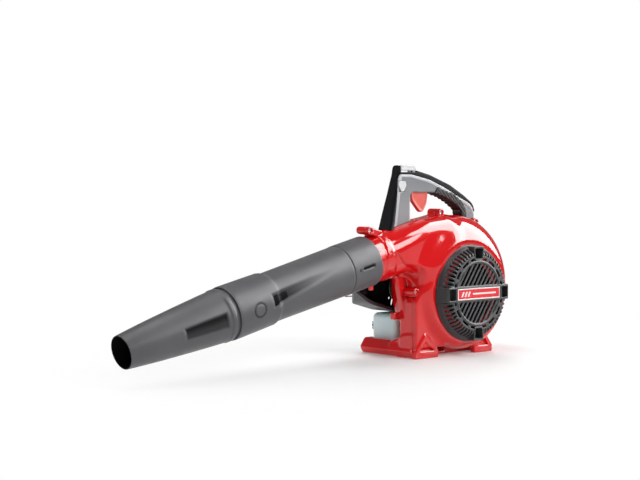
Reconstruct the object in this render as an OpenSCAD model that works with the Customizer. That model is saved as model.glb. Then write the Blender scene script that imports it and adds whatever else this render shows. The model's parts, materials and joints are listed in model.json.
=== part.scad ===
// Hand-held petrol leaf blower.
// +Z is up, the air leaves towards -X, the crank and impeller axis runs along Y.
// The inlet grille is on the -Y side and the engine on the +Y side.
// The origin is on the ground, straight below the impeller axis, on the mid-plane of the air duct.

/* [Housing] */
// Height of the crank and impeller axis above the ground
axis_z = 126; // [125:0.5:128]
// Radius of the scroll casing's ends, seen from the side
scroll_r = 130; // [128:0.5:131]
// Wall of the moulded casings
wall = 3; // [2.5:0.1:3.5]
// Radius of the opening that the air enters by
inlet_r = 66; // [58:1:70]

/* [Air tube] */
// Slope of the air tube below the horizontal
tube_slope = 13.5; // [13:0.1:14]
// Length of the upper tube
tube_len = 354; // [330:1:380]
// Length of nozzle that shows beyond the upper tube
nozzle_len = 223; // [200:1:250]
// Outer radius of the collar at the casing end
collar_r = 50; // [49:0.5:51]
// Outer radius of the nozzle at its mouth
mouth_r = 30; // [28:0.5:33]

/* [Inlet grille] */
// Outer radius of the grille's front ring
grille_r = 95; // [92:0.5:97]
// Slanted slots in each half of the centre disc
disc_slots = 10; // [6:1:10]
// Radial slots around the outer ring
ring_slots = 48; // [36:4:48]

/* [Impeller] */
// Radius of the impeller
impeller_r = 98; // [94:0.5:100]
// Blades on the impeller
blades = 12; // [8:1:12]

/* [Engine] */
// Cylinder bore radius
bore_r = 17.5; // [17:0.1:18]
// Crank throw, half the stroke
throw = 14; // [12:0.5:14]
// Cooling fins on the cylinder
fins = 7; // [5:1:7]

/* [Hidden] */
$fn = 48;

// Casing: circles along Y that the scroll is drawn over, and the plane of the parting seam.
scroll_low_z = axis_z + 13;
scroll_high_z = axis_z + 27;
front_y = -60;
back_y = 42;
seat_r = grille_r + 6;
seam_low_y = -37;
seam_high_y = -12;
seam_step_z = 122;
big = 400;
foot_near_y = -47;
foot_far_y = 118;
front_foot_x = -141;
rear_foot_x = 85;
foot_w = 34;
keel_h = 7;
gap = 0.3;

// Screw bosses along Y: [x, z, near end, far end].
boss_r = 7.5;
bosses = [[-42, 289, -22, 12], [-239, 256, -22, 12], [61, 268, -22, 10], [-134, 133, -42, 8]];
screw_r = 2;

// Air tube: the collar's end on the tube axis.
tube_x = -233;
tube_z = 196;
neck_r = 46;
neck_in_r = neck_r - wall;
neck_len = 68;
collar_len = 73;
sleeve_len = 92;
waist_r = 46.8;
lock_d = 58;
nozzle_step = 9;
nozzle_bore_r = mouth_r - 2.5;
nozzle_bore_len = 25;

// Grille: front plane, rim of the skirt, and the slots in the disc.
grille_y = -86;
ring_y = -68;
bar_h = 30;
badge_half = 62;
disc_r = 61;
slant = 35;
slot_pitch = 10.2;
slot_w = 5.4;
grille_screw_at = 80;

// Engine planes along Y.
crank_y = 78;
case_y0 = 44;
case_y1 = 108;
web_in = 6;
web_out = 16;
web_r = 24;
case_r = 38;
deck_z = axis_z + case_r;
rod_len = 50;
pin_z = axis_z + throw;
wrist_z = pin_z + rod_len;
piston_z0 = wrist_z - 10;
piston_z1 = wrist_z + 16;
head_z = piston_z1 + 2;
cyl_top = head_z + 16;
run_gap = 0.05;
flywheel_r = 44;
coil_z = axis_z + flywheel_r + 3;
starter_y1 = 158;
starter_r = 58;
pulley_y0 = 136;
pulley_y1 = 145;
pulley_r = 29;
groove_r = 24;
rope_r = 1.75;
rope_x = groove_r + rope_r + 0.1;
rope_y = (pulley_y0 + pulley_y1) / 2;
rope_z0 = 130;
rope_z1 = 192;

// Tank and its cap.
tank_x0 = -102;
tank_x1 = 46;
tank_y0 = 48;
tank_y1 = 122;
tank_z0 = 20;
tank_z1 = 80;
cap_z = 50;
cap_x = -60;

// Handle.
handle_half = 12;
handle_wall = 2.5;
pivot_x = -104;
pivot_z = 342;
cruise_x = -107;
cruise_z = 375;
primer_x = -186;
primer_y = 61;
primer_z = 125.5;
cover_x0 = -222;
cover_y0 = 46;
cover_wall = 2.5;
choke_x = -148;
choke_y = crank_y + 11;
choke_z = deck_z + 18;

// ---- shared shapes -------------------------------------------------------

// Cylinder along Y.
module y_cyl(r, y0, y1, x = 0, z = axis_z)
    translate([x, y0, z]) rotate([-90, 0, 0]) cylinder(r = r, h = y1 - y0);

// Ring along Y.
module y_ring(r_out, r_in, y0, y1, x = 0, z = axis_z)
    difference() {
        y_cyl(r_out, y0, y1, x, z);
        y_cyl(r_in, y0 - 1, y1 + 1, x, z);
    }

// A plate drawn in X and Z, from y0 to y1.
module slab(y0, y1)
    translate([0, y1, 0]) rotate([90, 0, 0]) linear_extrude(y1 - y0) children();

// Turns a profile of [radius, y] points about an axis along Y.
module spin_y(x = 0, z = axis_z)
    translate([x, 0, z]) rotate([-90, 0, 0]) rotate_extrude() children();

// Places children on the tube axis, with +Z towards the mouth.
module on_tube(d = 0)
    translate([tube_x, 0, tube_z]) rotate([0, -90 - tube_slope, 0]) translate([0, 0, d]) children();

module box(lo, hi) translate(lo) cube(hi - lo);

// Straight rod between two points.
module rod(a, b, r) {
    v = b - a;
    translate(a) rotate([0, acos(v.z / norm(v)), atan2(v.y, v.x)]) cylinder(r = r, h = norm(v));
}

// ---- casing --------------------------------------------------------------

// The scroll, with rounded shoulders; grow moves its skin out or in.
module scroll_form(grow = 0)
    hull() {
        y_cyl(seat_r + grow, front_y - grow, front_y + 4);
        y_cyl(scroll_r - 6 + grow, front_y + 12 - grow, front_y + 16, 0, scroll_high_z - 4);
        for (z = [scroll_low_z, scroll_high_z])
            y_cyl(scroll_r + grow, -26, 22, 0, z);
        y_cyl(scroll_r - 13 + grow, back_y - 4, back_y + grow, 0, axis_z + 12);
    }

// A rounded cross-section of the duct at x.
module duct_section(x, y0, y1, z0, z1, r)
    for (y = [y0 + r, y1 - r])
        for (z = [z0 + r / 3, z1 - r])
            translate([x, y, z]) rotate([0, 90, 0]) cylinder(r = z > (z0 + z1) / 2 ? r : r / 3, h = 4);

// The duct between the scroll and the round neck.
module duct_form(grow = 0)
    hull() {
        on_tube(-38) cylinder(r = neck_r + 1 + grow, h = 4);
        duct_section(-104, -50 - grow, 38 + grow, 174 - grow, 276 + grow, 30);
        duct_section(-40, -52 - grow, 38 + grow, 174 - grow, 281 + grow, 30);
    }

// Round neck that the upper tube slides over.
module neck()
    on_tube(-36) cylinder(r = neck_r, h = 36 + neck_len);

module casing_form(grow = 0) {
    scroll_form(grow);
    duct_form(grow);
}

// Space inside the casing: the scroll, the duct and the neck's bore.
module casing_space() {
    casing_form(-wall);
    on_tube(-40) cylinder(r = neck_in_r, h = neck_len + 60);
}

// The cheek in front of the scroll, from the front foot up to the duct.
module cheek()
    slab(foot_near_y, 2)
        polygon([[-138, 24], [-138, 118], [-128, 132], [-92, 150], [-60, 60], [-60, 24]]);

// Web between the duct and the cheek, which carries the front boss.
module front_web()
    slab(-4, 2)
        polygon([[-160, 168], [-144, 129], [-136, 110], [-90, 110], [-90, 180], [-130, 178]]);

module foot_outline(w) {
    square([w, 14]);
    polygon([[4, 14], [w - 4, 14], [w - 10, 26], [10, 26]]);
}

// One cross foot, from y0 to y1, starting at x.
module foot(x, y0, y1, w = foot_w)
    slab(y0, y1) translate([x, 0]) foot_outline(w);

// Near ends of the feet, with a gusset up to the scroll.
module foot_end(x, w, lean)
    slab(foot_near_y, seam_low_y) {
        translate([x, 0]) square([w, 14]);
        polygon([[x + 4, 13], [x + w - 4, 13], [x + w / 2 + lean, 56]]);
    }

// The side of the seam that belongs to the inlet half.
module near_side() {
    box([-big, -big, -10], [big, seam_low_y, big]);
    box([-big, seam_low_y - 1, seam_step_z], [big, seam_high_y, big]);
}

module bosses_form()
    for (b = bosses)
        y_cyl(boss_r, b[2], b[3], b[0], b[1]);

// Tongue that carries the boss above the collar, and the web under the top boss.
module boss_carriers(grow = 0) {
    slab(-20 - grow, 10 + grow) offset(delta = grow)
        polygon([[-240, 250], [-206, 240], [-206, 255], [-236, 262]]);
    slab(-20 - grow, 10 + grow) offset(delta = grow)
        polygon([[-50, 270], [-34, 270], [-38, 288], [-46, 288]]);
}

module screw_holes(r)
    for (b = bosses)
        y_cyl(r, b[2] + 6, b[3] - 6, b[0], b[1]);

module head_pockets()
    for (b = bosses)
        y_cyl(4.2, b[2] - 1, b[2] + 6, b[0], b[1]);

module inlet_housing() color("red") difference() {
    union() {
        intersection() {
            near_side();
            union() {
                casing_form();
                cheek();
                bosses_form();
                boss_carriers();
                neck();
            }
        }
        foot_end(front_foot_x, 66, 4);
        foot_end(rear_foot_x - 55, 55, -4);
    }
    casing_space();
    y_cyl(inlet_r, front_y - 5, front_y + 5);
    screw_holes(screw_r);
    head_pockets();
    for (s = [-1, 1])
        y_cyl(screw_r, front_y - 5, front_y + 8, 0, axis_z + s * grille_screw_at);
    box([-134, -43, 30], [-100, -30, 108]);
}

module engine_side_housing() color("red") difference() {
    union() {
        difference() {
            union() {
                casing_form();
                cheek();
                front_web();
                bosses_form();
                boss_carriers();
                neck();
            }
            near_side();
        }
        foot(front_foot_x, seam_low_y, foot_far_y);
        foot(rear_foot_x - foot_w, seam_low_y, foot_far_y);
        box([front_foot_x + 5, -12, 0], [rear_foot_x - 5, 12, keel_h]);
        box([-20, -10, keel_h - 1], [20, 10, 14]);
    }
    casing_space();
    screw_holes(screw_r);
    y_cyl(12, 0, back_y + 5);
    for (a = [45:90:315])
        y_cyl(screw_r, 30, back_y + 5, 31 * cos(a), axis_z + 31 * sin(a));
    box([-134, seam_low_y - 1, 30], [-100, -2, 108]);
}

module housing_screws() color("dimgray")
    for (b = bosses) {
        y_cyl(screw_r, b[2] + 6, b[3] - 6, b[0], b[1]);
        y_ring(3.8, 1.5, b[2] + 3, b[2] + 6, b[0], b[1]);
        y_cyl(3.8, b[2] + 5, b[2] + 6, b[0], b[1]);
    }

// ---- grille --------------------------------------------------------------

// Slanted slots of the centre disc, above and below the bar.
module disc_slot_shapes()
    difference() {
        intersection() {
            circle(r = disc_r);
            rotate(-slant)
                for (i = [-disc_slots / 2:disc_slots / 2])
                    translate([i * slot_pitch - slot_w / 2, -disc_r]) square([slot_w, 2 * disc_r]);
        }
        square([2 * big, bar_h], center = true);
    }

// Short slots around the disc, three in each quarter.
module dash_shapes()
    for (side = [0, 180])
        for (a = [21.5:22:66])
            for (flip = [-1, 1])
                rotate(side + 90 + flip * a) translate([67, -8.5]) square([5, 17]);

// Domed shell of the grille: base flange, skirt, slotted cone and flat front.
module grille_shell()
    spin_y() polygon([[grille_r + 2, front_y], [grille_r + 2, front_y - 2.5], [grille_r + 0.6, front_y - 3.5],
        [grille_r, ring_y], [grille_r - 4, ring_y - 4], [grille_r - 12, grille_y + 2],
        [grille_r - 14, grille_y], [0, grille_y], [0, grille_y + 3], [grille_r - 15.5, grille_y + 3],
        [grille_r - 7, ring_y - 2], [grille_r - 3, ring_y + 1], [grille_r - 3, front_y]]);

// End of the bar at one side, carried down over the cone to the flange.
module bar_end(s)
    translate([0, 0, axis_z - bar_h / 2]) linear_extrude(bar_h)
        polygon([[s * 58, grille_y], [s * 89, grille_y], [s * 92, grille_y + 3], [s * 97, ring_y],
            [s * 99, front_y], [s * 76, front_y], [s * 76, grille_y + 2], [s * 58, grille_y + 2]]);

module inlet_grille() color("dimgray") difference() {
    union() {
        difference() {
            grille_shell();
            for (i = [0:ring_slots - 1])
                translate([0, 0, axis_z]) rotate([0, (i + 0.5) * 360 / ring_slots, 0])
                    box([grille_r - 20, grille_y + 2.4, -1.8], [grille_r - 3.5, ring_y - 3, 1.8]);
            slab(grille_y - 1, grille_y + 4) translate([0, axis_z]) {
                disc_slot_shapes();
                dash_shapes();
            }
        }
        for (s = [-1, 1]) {
            bar_end(s);
            y_cyl(14, grille_y, front_y, 0, axis_z + s * grille_screw_at);
        }
    }
    box([-badge_half, grille_y - 1, axis_z - 11.5], [badge_half, grille_y + 1, axis_z + 11.5]);
    for (s = [-1, 1]) {
        box([s * 77 - 9, grille_y - 1, axis_z - 11], [s * 77 + 9, front_y - 5, axis_z + 11]);
        y_cyl(10.5, grille_y - 1, front_y - 3, 0, axis_z + s * grille_screw_at);
        y_cyl(screw_r, grille_y, front_y + 1, 0, axis_z + s * grille_screw_at);
    }
}

module grille_badge() color("crimson")
    box([-badge_half, grille_y - 0.8, axis_z - 11.5], [badge_half, grille_y + 1, axis_z + 11.5]);

module grille_screws() color("silver")
    for (s = [-1, 1]) {
        y_cyl(screw_r, front_y - 3, front_y + 6, 0, axis_z + s * grille_screw_at);
        y_ring(4, 1.4, front_y - 5.5, front_y - 4, 0, axis_z + s * grille_screw_at);
        y_cyl(4, front_y - 4, front_y - 3, 0, axis_z + s * grille_screw_at);
    }

// ---- impeller and crank --------------------------------------------------

// One swept blade, from the eye to the rim.
module blade()
    intersection() {
        difference() {
            circle(r = impeller_r - 1);
            circle(r = 52);
        }
        translate([0, 66]) difference() {
            circle(r = 46);
            circle(r = 43.6);
        }
        translate([0, 40]) square([120, 80]);
    }

module impeller() color("dimgray") {
    difference() {
        union() {
            y_cyl(impeller_r, 26, 29);
            y_cyl(15, -6, 26);
        }
        y_cyl(6, -10, 40);
    }
    slab(-40, 26)
        translate([0, axis_z]) for (i = [0:blades - 1]) rotate(i * 360 / blades) blade();
    y_ring(impeller_r, impeller_r - 18, -42, -40);
}

module impeller_nut() color("silver") difference() {
    translate([0, -12, axis_z]) rotate([-90, 0, 0]) cylinder(r = 10, h = 6, $fn = 6);
    y_cyl(6, -20, 0);
}

module crankshaft() color("silver") {
    y_cyl(6, -16, case_y0 + 4);
    y_cyl(8, case_y0 + 4, crank_y - web_out);
    for (s = [-1, 1])
        y_cyl(web_r, crank_y + (s < 0 ? -web_out : web_in), crank_y + (s < 0 ? -web_in : web_out));
    y_cyl(8, crank_y + web_out, case_y1 + 1);
    y_cyl(6, case_y1 + 1, case_y1 + 20);
}

module flywheel() color("gray") {
    difference() {
        union() {
            y_cyl(flywheel_r, case_y1 + 3, case_y1 + 8);
            y_cyl(14, case_y1 + 2, case_y1 + 13);
        }
        y_cyl(6, case_y1, case_y1 + 15);
    }
    for (i = [0:17])
        translate([0, 0, axis_z]) rotate([0, i * 20, 0])
            box([24, case_y1 + 7.5, -1.2], [flywheel_r - 2, case_y1 + 15, 1.2]);
}

module flywheel_nut() color("silver") difference() {
    translate([0, case_y1 + 13, axis_z]) rotate([-90, 0, 0]) cylinder(r = 10, h = 5, $fn = 6);
    y_cyl(6, case_y1, case_y1 + 25);
}

module crank_bearings() color("silver") {
    y_ring(15, 8 + run_gap, case_y0 + 7, case_y0 + 16);
    y_ring(15, 8 + run_gap, case_y1 - 12, case_y1 - 3);
}

module crank_seals() color("black") {
    y_ring(12, 8 + run_gap, case_y0 + 4.5, case_y0 + 7);
    y_ring(12, 8 + run_gap, case_y1 - 3, case_y1);
}

module crankcase() color("silver") difference() {
    union() {
        y_cyl(case_r, case_y0, case_y1);
        translate([0, crank_y, axis_z + 20]) cylinder(r = 30, h = case_r - 20);
        for (a = [45:90:315])
            y_cyl(6, case_y0, case_y0 + 12, 31 * cos(a), axis_z + 31 * sin(a));
    }
    y_cyl(30, crank_y - web_out - 1.5, crank_y + web_out + 1.5);
    y_cyl(15, case_y0 + 7, case_y1 - 3);
    y_cyl(12, case_y0 - 1, case_y1 + 1);
    translate([0, crank_y, axis_z]) cylinder(r = bore_r + 1.5, h = case_r + 5);
    for (a = [45:90:315])
        y_cyl(screw_r, case_y0 - 1, case_y0 + 10, 31 * cos(a), axis_z + 31 * sin(a));
}

module crankcase_screws() color("dimgray")
    for (a = [45:90:315]) {
        y_cyl(screw_r, back_y - wall, case_y0 + 10, 31 * cos(a), axis_z + 31 * sin(a));
        y_cyl(4, back_y - wall - 3, back_y - wall, 31 * cos(a), axis_z + 31 * sin(a));
    }

// ---- cylinder and piston -------------------------------------------------

module cylinder_body()
    translate([0, crank_y, 0]) difference() {
        union() {
            translate([0, 0, deck_z]) cylinder(r = 22, h = cyl_top - deck_z);
            translate([0, 0, deck_z]) cylinder(r = 29, h = 4);
            for (i = [0:fins - 1])
                translate([0, 0, cyl_top - 2.4 - i * 7]) cylinder(r = 29.5, h = 2.4);
            translate([0, 0, deck_z + 18]) rotate([0, -90, 0]) cylinder(r = 10, h = 32);
            translate([0, 0, deck_z + 24]) rotate([0, 90, 0]) cylinder(r = 10, h = 34);
        }
        translate([0, 0, deck_z - 1]) cylinder(r = bore_r, h = head_z - deck_z + 1);
        translate([0, 0, head_z - 1]) cylinder(r = 5, h = 20);
        translate([0, 0, deck_z + 18]) rotate([0, -90, 0]) cylinder(r = 7, h = 40);
        translate([0, 0, deck_z + 24]) rotate([0, 90, 0]) cylinder(r = 7, h = 40);
    }

module cylinder_node() color("silver") cylinder_body();

module piston() color("silver") translate([0, crank_y, 0]) difference() {
    translate([0, 0, piston_z0]) cylinder(r = bore_r - run_gap, h = piston_z1 - piston_z0);
    translate([0, 0, piston_z0 - 1]) cylinder(r = bore_r - 3.5, h = 21);
    translate([0, 0, piston_z1 - 6]) difference() {
        cylinder(r = bore_r + 1, h = 2);
        cylinder(r = bore_r - 2, h = 2);
    }
    translate([0, -20, wrist_z]) rotate([-90, 0, 0]) cylinder(r = 4, h = 40);
}

module piston_ring() color("dimgray") translate([0, crank_y, piston_z1 - 5.9]) difference() {
    cylinder(r = bore_r - run_gap / 2, h = 1.8);
    translate([0, 0, -1]) cylinder(r = bore_r - 1.9, h = 4);
}

module wrist_pin() color("silver") y_cyl(4, crank_y - 15, crank_y + 15, 0, wrist_z);

module connecting_rod() color("gray") difference() {
    union() {
        y_cyl(10, crank_y - 4, crank_y + 4, 0, pin_z);
        y_cyl(7.5, crank_y - 4, crank_y + 4, 0, wrist_z);
        box([-4, crank_y - 3, pin_z + 8], [4, crank_y + 3, wrist_z - 5]);
    }
    y_cyl(6, crank_y - 6, crank_y + 6, 0, pin_z);
    y_cyl(4, crank_y - 6, crank_y + 6, 0, wrist_z);
}

// Ends just short of the crank webs, where the linkage is opened.
module crankpin() color("silver") y_cyl(6, crank_y - web_in + 0.5, crank_y + web_in - 0.5, 0, pin_z);

module spark_plug() color("white") translate([0, crank_y, 0]) {
    translate([0, 0, head_z]) cylinder(r = 5, h = 16);
    translate([0, 0, cyl_top]) cylinder(r = 9, h = 8, $fn = 6);
    translate([0, 0, cyl_top + 8]) cylinder(r = 5, h = 14);
}

module spark_plug_boot() color("black") difference() {
    union() {
        translate([0, crank_y, cyl_top + 10]) cylinder(r = 8, h = 18);
        rod([0, crank_y, cyl_top + 22], [24, crank_y + 16, cyl_top + 22], 5);
    }
    translate([0, crank_y, cyl_top]) cylinder(r = 5, h = 22);
}

module ignition_coil() color("black") {
    box([-16, case_y1 + 2, coil_z], [16, case_y1 + 14, coil_z + 19]);
    for (s = [-1, 1])
        box([s * 11 - 4, case_y1 + 5, coil_z - 2], [s * 11 + 4, case_y1 + 11, coil_z]);
}

module muffler() color("silver") difference() {
    union() {
        box([35, crank_y - 24, deck_z], [84, crank_y + 24, deck_z + 48]);
        rod([70, crank_y + 10, deck_z + 10], [70, crank_y + 40, deck_z + 4], 6);
    }
    box([37, crank_y - 22, deck_z + 2], [82, crank_y + 22, deck_z + 46]);
    translate([30, crank_y, deck_z + 24]) rotate([0, 90, 0]) cylinder(r = 7, h = 8);
    rod([70, crank_y + 20, deck_z + 8], [70, crank_y + 42, deck_z + 3.6], 4.5);
}

// ---- fuel and intake -----------------------------------------------------

module intake_insulator() color("black") difference() {
    box([-46, crank_y - 15, deck_z + 4], [-32.2, crank_y + 15, deck_z + 32]);
    translate([-50, crank_y, deck_z + 18]) rotate([0, 90, 0]) cylinder(r = 7, h = 30);
}

module carburetor() color("silver") difference() {
    union() {
        box([-82, crank_y - 17, deck_z], [-46.2, crank_y + 17, deck_z + 32]);
        translate([-64, crank_y, deck_z + 32]) cylinder(r = 11, h = 6);
        translate([-60, crank_y + 10, deck_z - 8]) cylinder(r = 3, h = 10);
    }
    translate([-90, crank_y, deck_z + 18]) rotate([0, 90, 0]) cylinder(r = 8, h = 60);
}

module air_filter() color("gray")
    box([-104, crank_y - 22, deck_z - 2], [-90, crank_y + 22, deck_z + 36]);

// Turns about a shaft along X; the blade is outside the engine cover.
module choke_lever() color("orange") {
    translate([choke_x, choke_y, choke_z]) rotate([0, 90, 0]) cylinder(r = 3, h = -105 - choke_x);
    translate([choke_x - 4, choke_y, choke_z]) rotate([0, 90, 0]) cylinder(r = 5, h = 4.2);
    box([choke_x - 4, choke_y - 3.5, choke_z], [choke_x, choke_y + 3.5, choke_z + 20]);
}

module primer_base() color("black") difference() {
    translate([primer_x, primer_y, primer_z]) cylinder(r = 12.5, h = 8);
    translate([primer_x, primer_y, primer_z + 3]) cylinder(r = 9.6, h = 10);
}

module primer_bulb() color("gray") intersection() {
    translate([primer_x, primer_y, primer_z + 10]) sphere(r = 9.5);
    translate([primer_x, primer_y, primer_z + 8.2]) cylinder(r = 9.5, h = 20);
}

module fuel_tank() color("white", 0.7) difference() {
    union() {
        hull()
            for (x = [tank_x0 + 12, tank_x1 - 12])
                for (y = [tank_y0 + 12, tank_y1 - 12])
                    translate([x, y, tank_z0]) {
                        translate([0, 0, 4]) cylinder(r = 12, h = tank_z1 - tank_z0 - 8);
                        cylinder(r = 9, h = tank_z1 - tank_z0);
                    }
        y_cyl(13, tank_y1 - 8, tank_y1 + 8, cap_x, cap_z);
    }
    hull()
        for (x = [tank_x0 + 12, tank_x1 - 12])
            for (y = [tank_y0 + 12, tank_y1 - 12])
                translate([x, y, tank_z0 + 2]) cylinder(r = 10, h = tank_z1 - tank_z0 - 4);
    y_cyl(11, tank_y1 - 14, tank_y1 + 9, cap_x, cap_z);
}

module fuel_cap_seal() color("black") y_ring(13, 11, tank_y1 + 8.2, tank_y1 + 9.7, cap_x, cap_z);

module fuel_cap() color("dimgray") difference() {
    union() {
        y_cyl(19, tank_y1 + 10, tank_y1 + 22, cap_x, cap_z);
        for (i = [0:11])
            translate([cap_x, 0, cap_z]) rotate([0, i * 30, 0])
                box([18, tank_y1 + 11, -1.5], [20.5, tank_y1 + 21, 1.5]);
        y_ring(19, 14, tank_y1 + 1, tank_y1 + 10, cap_x, cap_z);
    }
    y_cyl(6, tank_y1 + 20, tank_y1 + 23, cap_x, cap_z);
}

module fuel_line() color("khaki")
    translate([-60, crank_y + 10, tank_z1 + 0.1]) difference() {
        cylinder(r = 3, h = deck_z - 8.3 - tank_z1);
        translate([0, 0, -1]) cylinder(r = 1.6, h = deck_z);
    }

// Room on the rear side of the engine cover's slanted front wall, which runs from the near rim inwards.
module behind_front_wall(inset = 0)
    translate([cover_x0, cover_y0, 0]) rotate([0, 0, -41]) translate([inset, -30, 0]) cube([big, big, big]);

// Outline of the engine cover, seen from the side.
module cover_outline()
    polygon([[cover_x0, 136], [-178, 107], [-96, 84], [30, 84], [88, 100], [104, 150], [98, 214],
        [66, 256], [30, 267], [-30, 267], [-62, 252], [-128, 206], [-150, 168], [-210, 160]]);

module engine_cover() color("#3a3a3c") difference() {
    intersection() {
        slab(cover_y0, case_y1 + 17) cover_outline();
        behind_front_wall();
    }
    intersection() {
        slab(cover_y0 - 1, case_y1 + 14.5) offset(delta = -cover_wall) cover_outline();
        behind_front_wall(cover_wall);
    }
    y_cyl(starter_r - 3, case_y1, case_y1 + 20);
    for (i = [0:5])
        box([80 + i, 56 + i * 8, 225], [120, 60 + i * 8, 246]);
    for (i = [0:4])
        box([60, case_y1 + 10, 196 + i * 9], [88, case_y1 + 20, 200 + i * 9]);
    translate([-60, crank_y + 10, 70]) cylinder(r = 5, h = 30);
    translate([70, crank_y + 40, deck_z + 4]) rotate([90, 0, 0]) cylinder(r = 9, h = 40, center = true);
    translate([-160, choke_y, choke_z]) rotate([0, 90, 0]) cylinder(r = 3.4, h = 50);
}

// ---- starter -------------------------------------------------------------

// Moves children from the crank axis to the starter's screw ear at angle a.
module at_ear(a)
    translate([(starter_r + 5) * cos(a), 0, (starter_r + 5) * sin(a)]) children();

module starter_housing() color("dimgray") {
    difference() {
        spin_y() polygon([[0, starter_y1 - 3], [20, starter_y1 - 3], [starter_r - 12, starter_y1 - 6],
            [starter_r - 3, starter_y1 - 14], [starter_r - 3, case_y1 + 17.2], [starter_r, case_y1 + 17.2],
            [starter_r, starter_y1 - 13], [starter_r - 10, starter_y1 - 3], [20, starter_y1],
            [0, starter_y1]]);
        for (i = [0:11])
            translate([0, 0, axis_z]) rotate([0, i * 30 + 15, 0])
                box([30, starter_y1 - 10, -2.5], [44, starter_y1 + 2, 2.5]);
        translate([rope_x, rope_y, axis_z + 30]) cylinder(r = 4, h = 40);
    }
    y_cyl(5, pulley_y0 - 2, starter_y1 - 2);
    for (a = [60:120:300])
        difference() {
            at_ear(a) y_cyl(7, case_y1 + 17.2, case_y1 + 24);
            at_ear(a) y_cyl(screw_r, case_y1 + 15, case_y1 + 26);
            y_cyl(starter_r - 1, case_y1, starter_y1);
        }
}

module starter_screws() color("silver")
    for (a = [60:120:300]) {
        at_ear(a) y_cyl(screw_r, case_y1 + 17.1, case_y1 + 24);
        at_ear(a) y_cyl(4, case_y1 + 24, case_y1 + 27);
    }

module starter_pulley() color("white") spin_y() polygon([[5 + run_gap, pulley_y0], [pulley_r, pulley_y0],
    [pulley_r, pulley_y0 + 2], [groove_r, pulley_y0 + 2.6], [groove_r, pulley_y1 - 2.6],
    [pulley_r, pulley_y1 - 2], [pulley_r, pulley_y1], [5 + run_gap, pulley_y1]]);

module recoil_spring() color("steelblue")
    for (i = [0:4])
        y_ring(10 + i * 3, 9 + i * 3, pulley_y1 + 0.8, pulley_y1 + 7);

module starter_rope() color("black")
    translate([rope_x, rope_y, rope_z0]) cylinder(r = rope_r, h = rope_z1 - rope_z0);

module pull_handle() color("black") difference() {
    union() {
        hull()
            for (s = [-1, 1])
                translate([rope_x + s * 24, rope_y, 200]) sphere(r = 8, $fn = 24);
        translate([rope_x, rope_y, 188]) cylinder(r = 7, h = 8);
    }
    translate([rope_x, rope_y, 180]) cylinder(r = rope_r + 0.2, h = 14);
}

// ---- handle --------------------------------------------------------------

// The arch, without the black strip on its front and top.
module arch_outline()
    polygon([[-170, 250], [-168.5, 262], [-156, 347], [-152.5, 363], [-147, 366], [-115, 365.5],
        [-66, 355.5], [-20, 339], [14, 323], [50, 308], [61, 300], [66, 288], [67, 272], [60, 262], [30, 262],
        [30, 279], [25.5, 294.8], [2, 309.8], [-23.5, 321.3], [-51, 329.3], [-68, 330.5], [-88, 329],
        [-113, 331], [-120.5, 324], [-120.5, 250]]);

module strip_outline()
    polygon([[-151, 356], [-151, 375], [-148, 382], [-144, 384], [-107, 374.5], [-64, 365], [-5, 344.5],
        [38, 322], [62, 306.5], [70, 290], [64, 288], [59, 298], [48, 306], [12, 321], [-22, 337],
        [-68, 353], [-117, 363]]);

module grip_outline()
    polygon([[-53, 327.8], [-24.2, 319.8], [1, 308.4], [24.3, 293.6], [28.4, 278.6], [28.4, 270],
        [43.5, 270], [40, 294], [29, 310.5], [2, 327.5], [-20, 332.5], [-45, 342]]);

module trigger_outline()
    polygon([[-112, 338], [-108, 347], [-73, 339], [-64, 329], [-68, 306], [-79, 290], [-86, 290],
        [-109, 314]]);

// One half of the handle: side is -1 for the left (-Y) and 1 for the right half.
module handle_half(side) {
    y0 = side < 0 ? -handle_half : 0;
    difference() {
        union() {
            slab(y0, y0 + handle_half) arch_outline();
            intersection() {
                cruise_ears();
                box([-big, y0, 0], [big, y0 + handle_half, big]);
            }
        }
        slab(side < 0 ? -handle_half + handle_wall : -1, side < 0 ? 1 : handle_half - handle_wall)
            offset(delta = -handle_wall) arch_outline();
        casing_form(gap);
        box([-114, -6, 300], [-58, 6, 350]);
        y_cyl(2, -handle_half - 1, handle_half + 1, pivot_x, pivot_z);
        y_cyl(1.5, -9, 9, cruise_x, cruise_z);
        box([-153.5, -handle_half - 1, 330], [-137.5, -handle_half + 4, 352]);
        bosses_clear();
        for (p = handle_screw_points)
            y_cyl(screw_r, -handle_half + handle_wall, handle_half + 1, p.x, p.y);
    }
}

module bosses_clear()
    for (b = bosses)
        y_cyl(boss_r + gap, b[2] - 2, b[3] + 2, b[0], b[1]);

handle_screw_points = [[-138, 300], [-30, 331.5], [50, 288]];

module handle_left() color("lightgray") handle_half(-1);

module handle_right() color("lightgray") handle_half(1);

module handle_trim() color("#222222") difference() {
    union() {
        hull() {
            box([-185.5, -20, 249], [-178, 20, 252]);
            box([-179, -12, 249], [-166, 12, 252]);
            box([-149, -11, 380], [-144, 11, 384]);
        }
        slab(-11, 11) strip_outline();
    }
    slab(-big, big) offset(delta = 0.1) arch_outline();
    box([-147, -20, 370], [-101.5, 20, 400]);
    casing_form(gap);
    on_tube(-40) cylinder(r = neck_r + gap, h = 60);
    boss_carriers(gap);
    bosses_clear();
    for (s = [-1, 1])
        box([cruise_x - 4.2, s * 6.5 - 1.7, 360], [cruise_x + 4.2, s * 6.5 + 1.7, 380]);
}

module handle_grip() color("black") difference() {
    slab(-handle_half - 1.6, handle_half + 1.6) grip_outline();
    slab(-handle_half, handle_half) arch_outline();
    y_cyl(5, 0, 40, handle_screw_points[1].x, handle_screw_points[1].y);
    casing_form(gap);
}

module handle_screws() color("silver")
    for (p = handle_screw_points)
        difference() {
            union() {
                y_cyl(screw_r, -handle_half + handle_wall, handle_half, p.x, p.y);
                y_cyl(4, handle_half, handle_half + 2, p.x, p.y);
            }
            y_cyl(1.4, handle_half + 1, handle_half + 3, p.x, p.y);
        }

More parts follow.
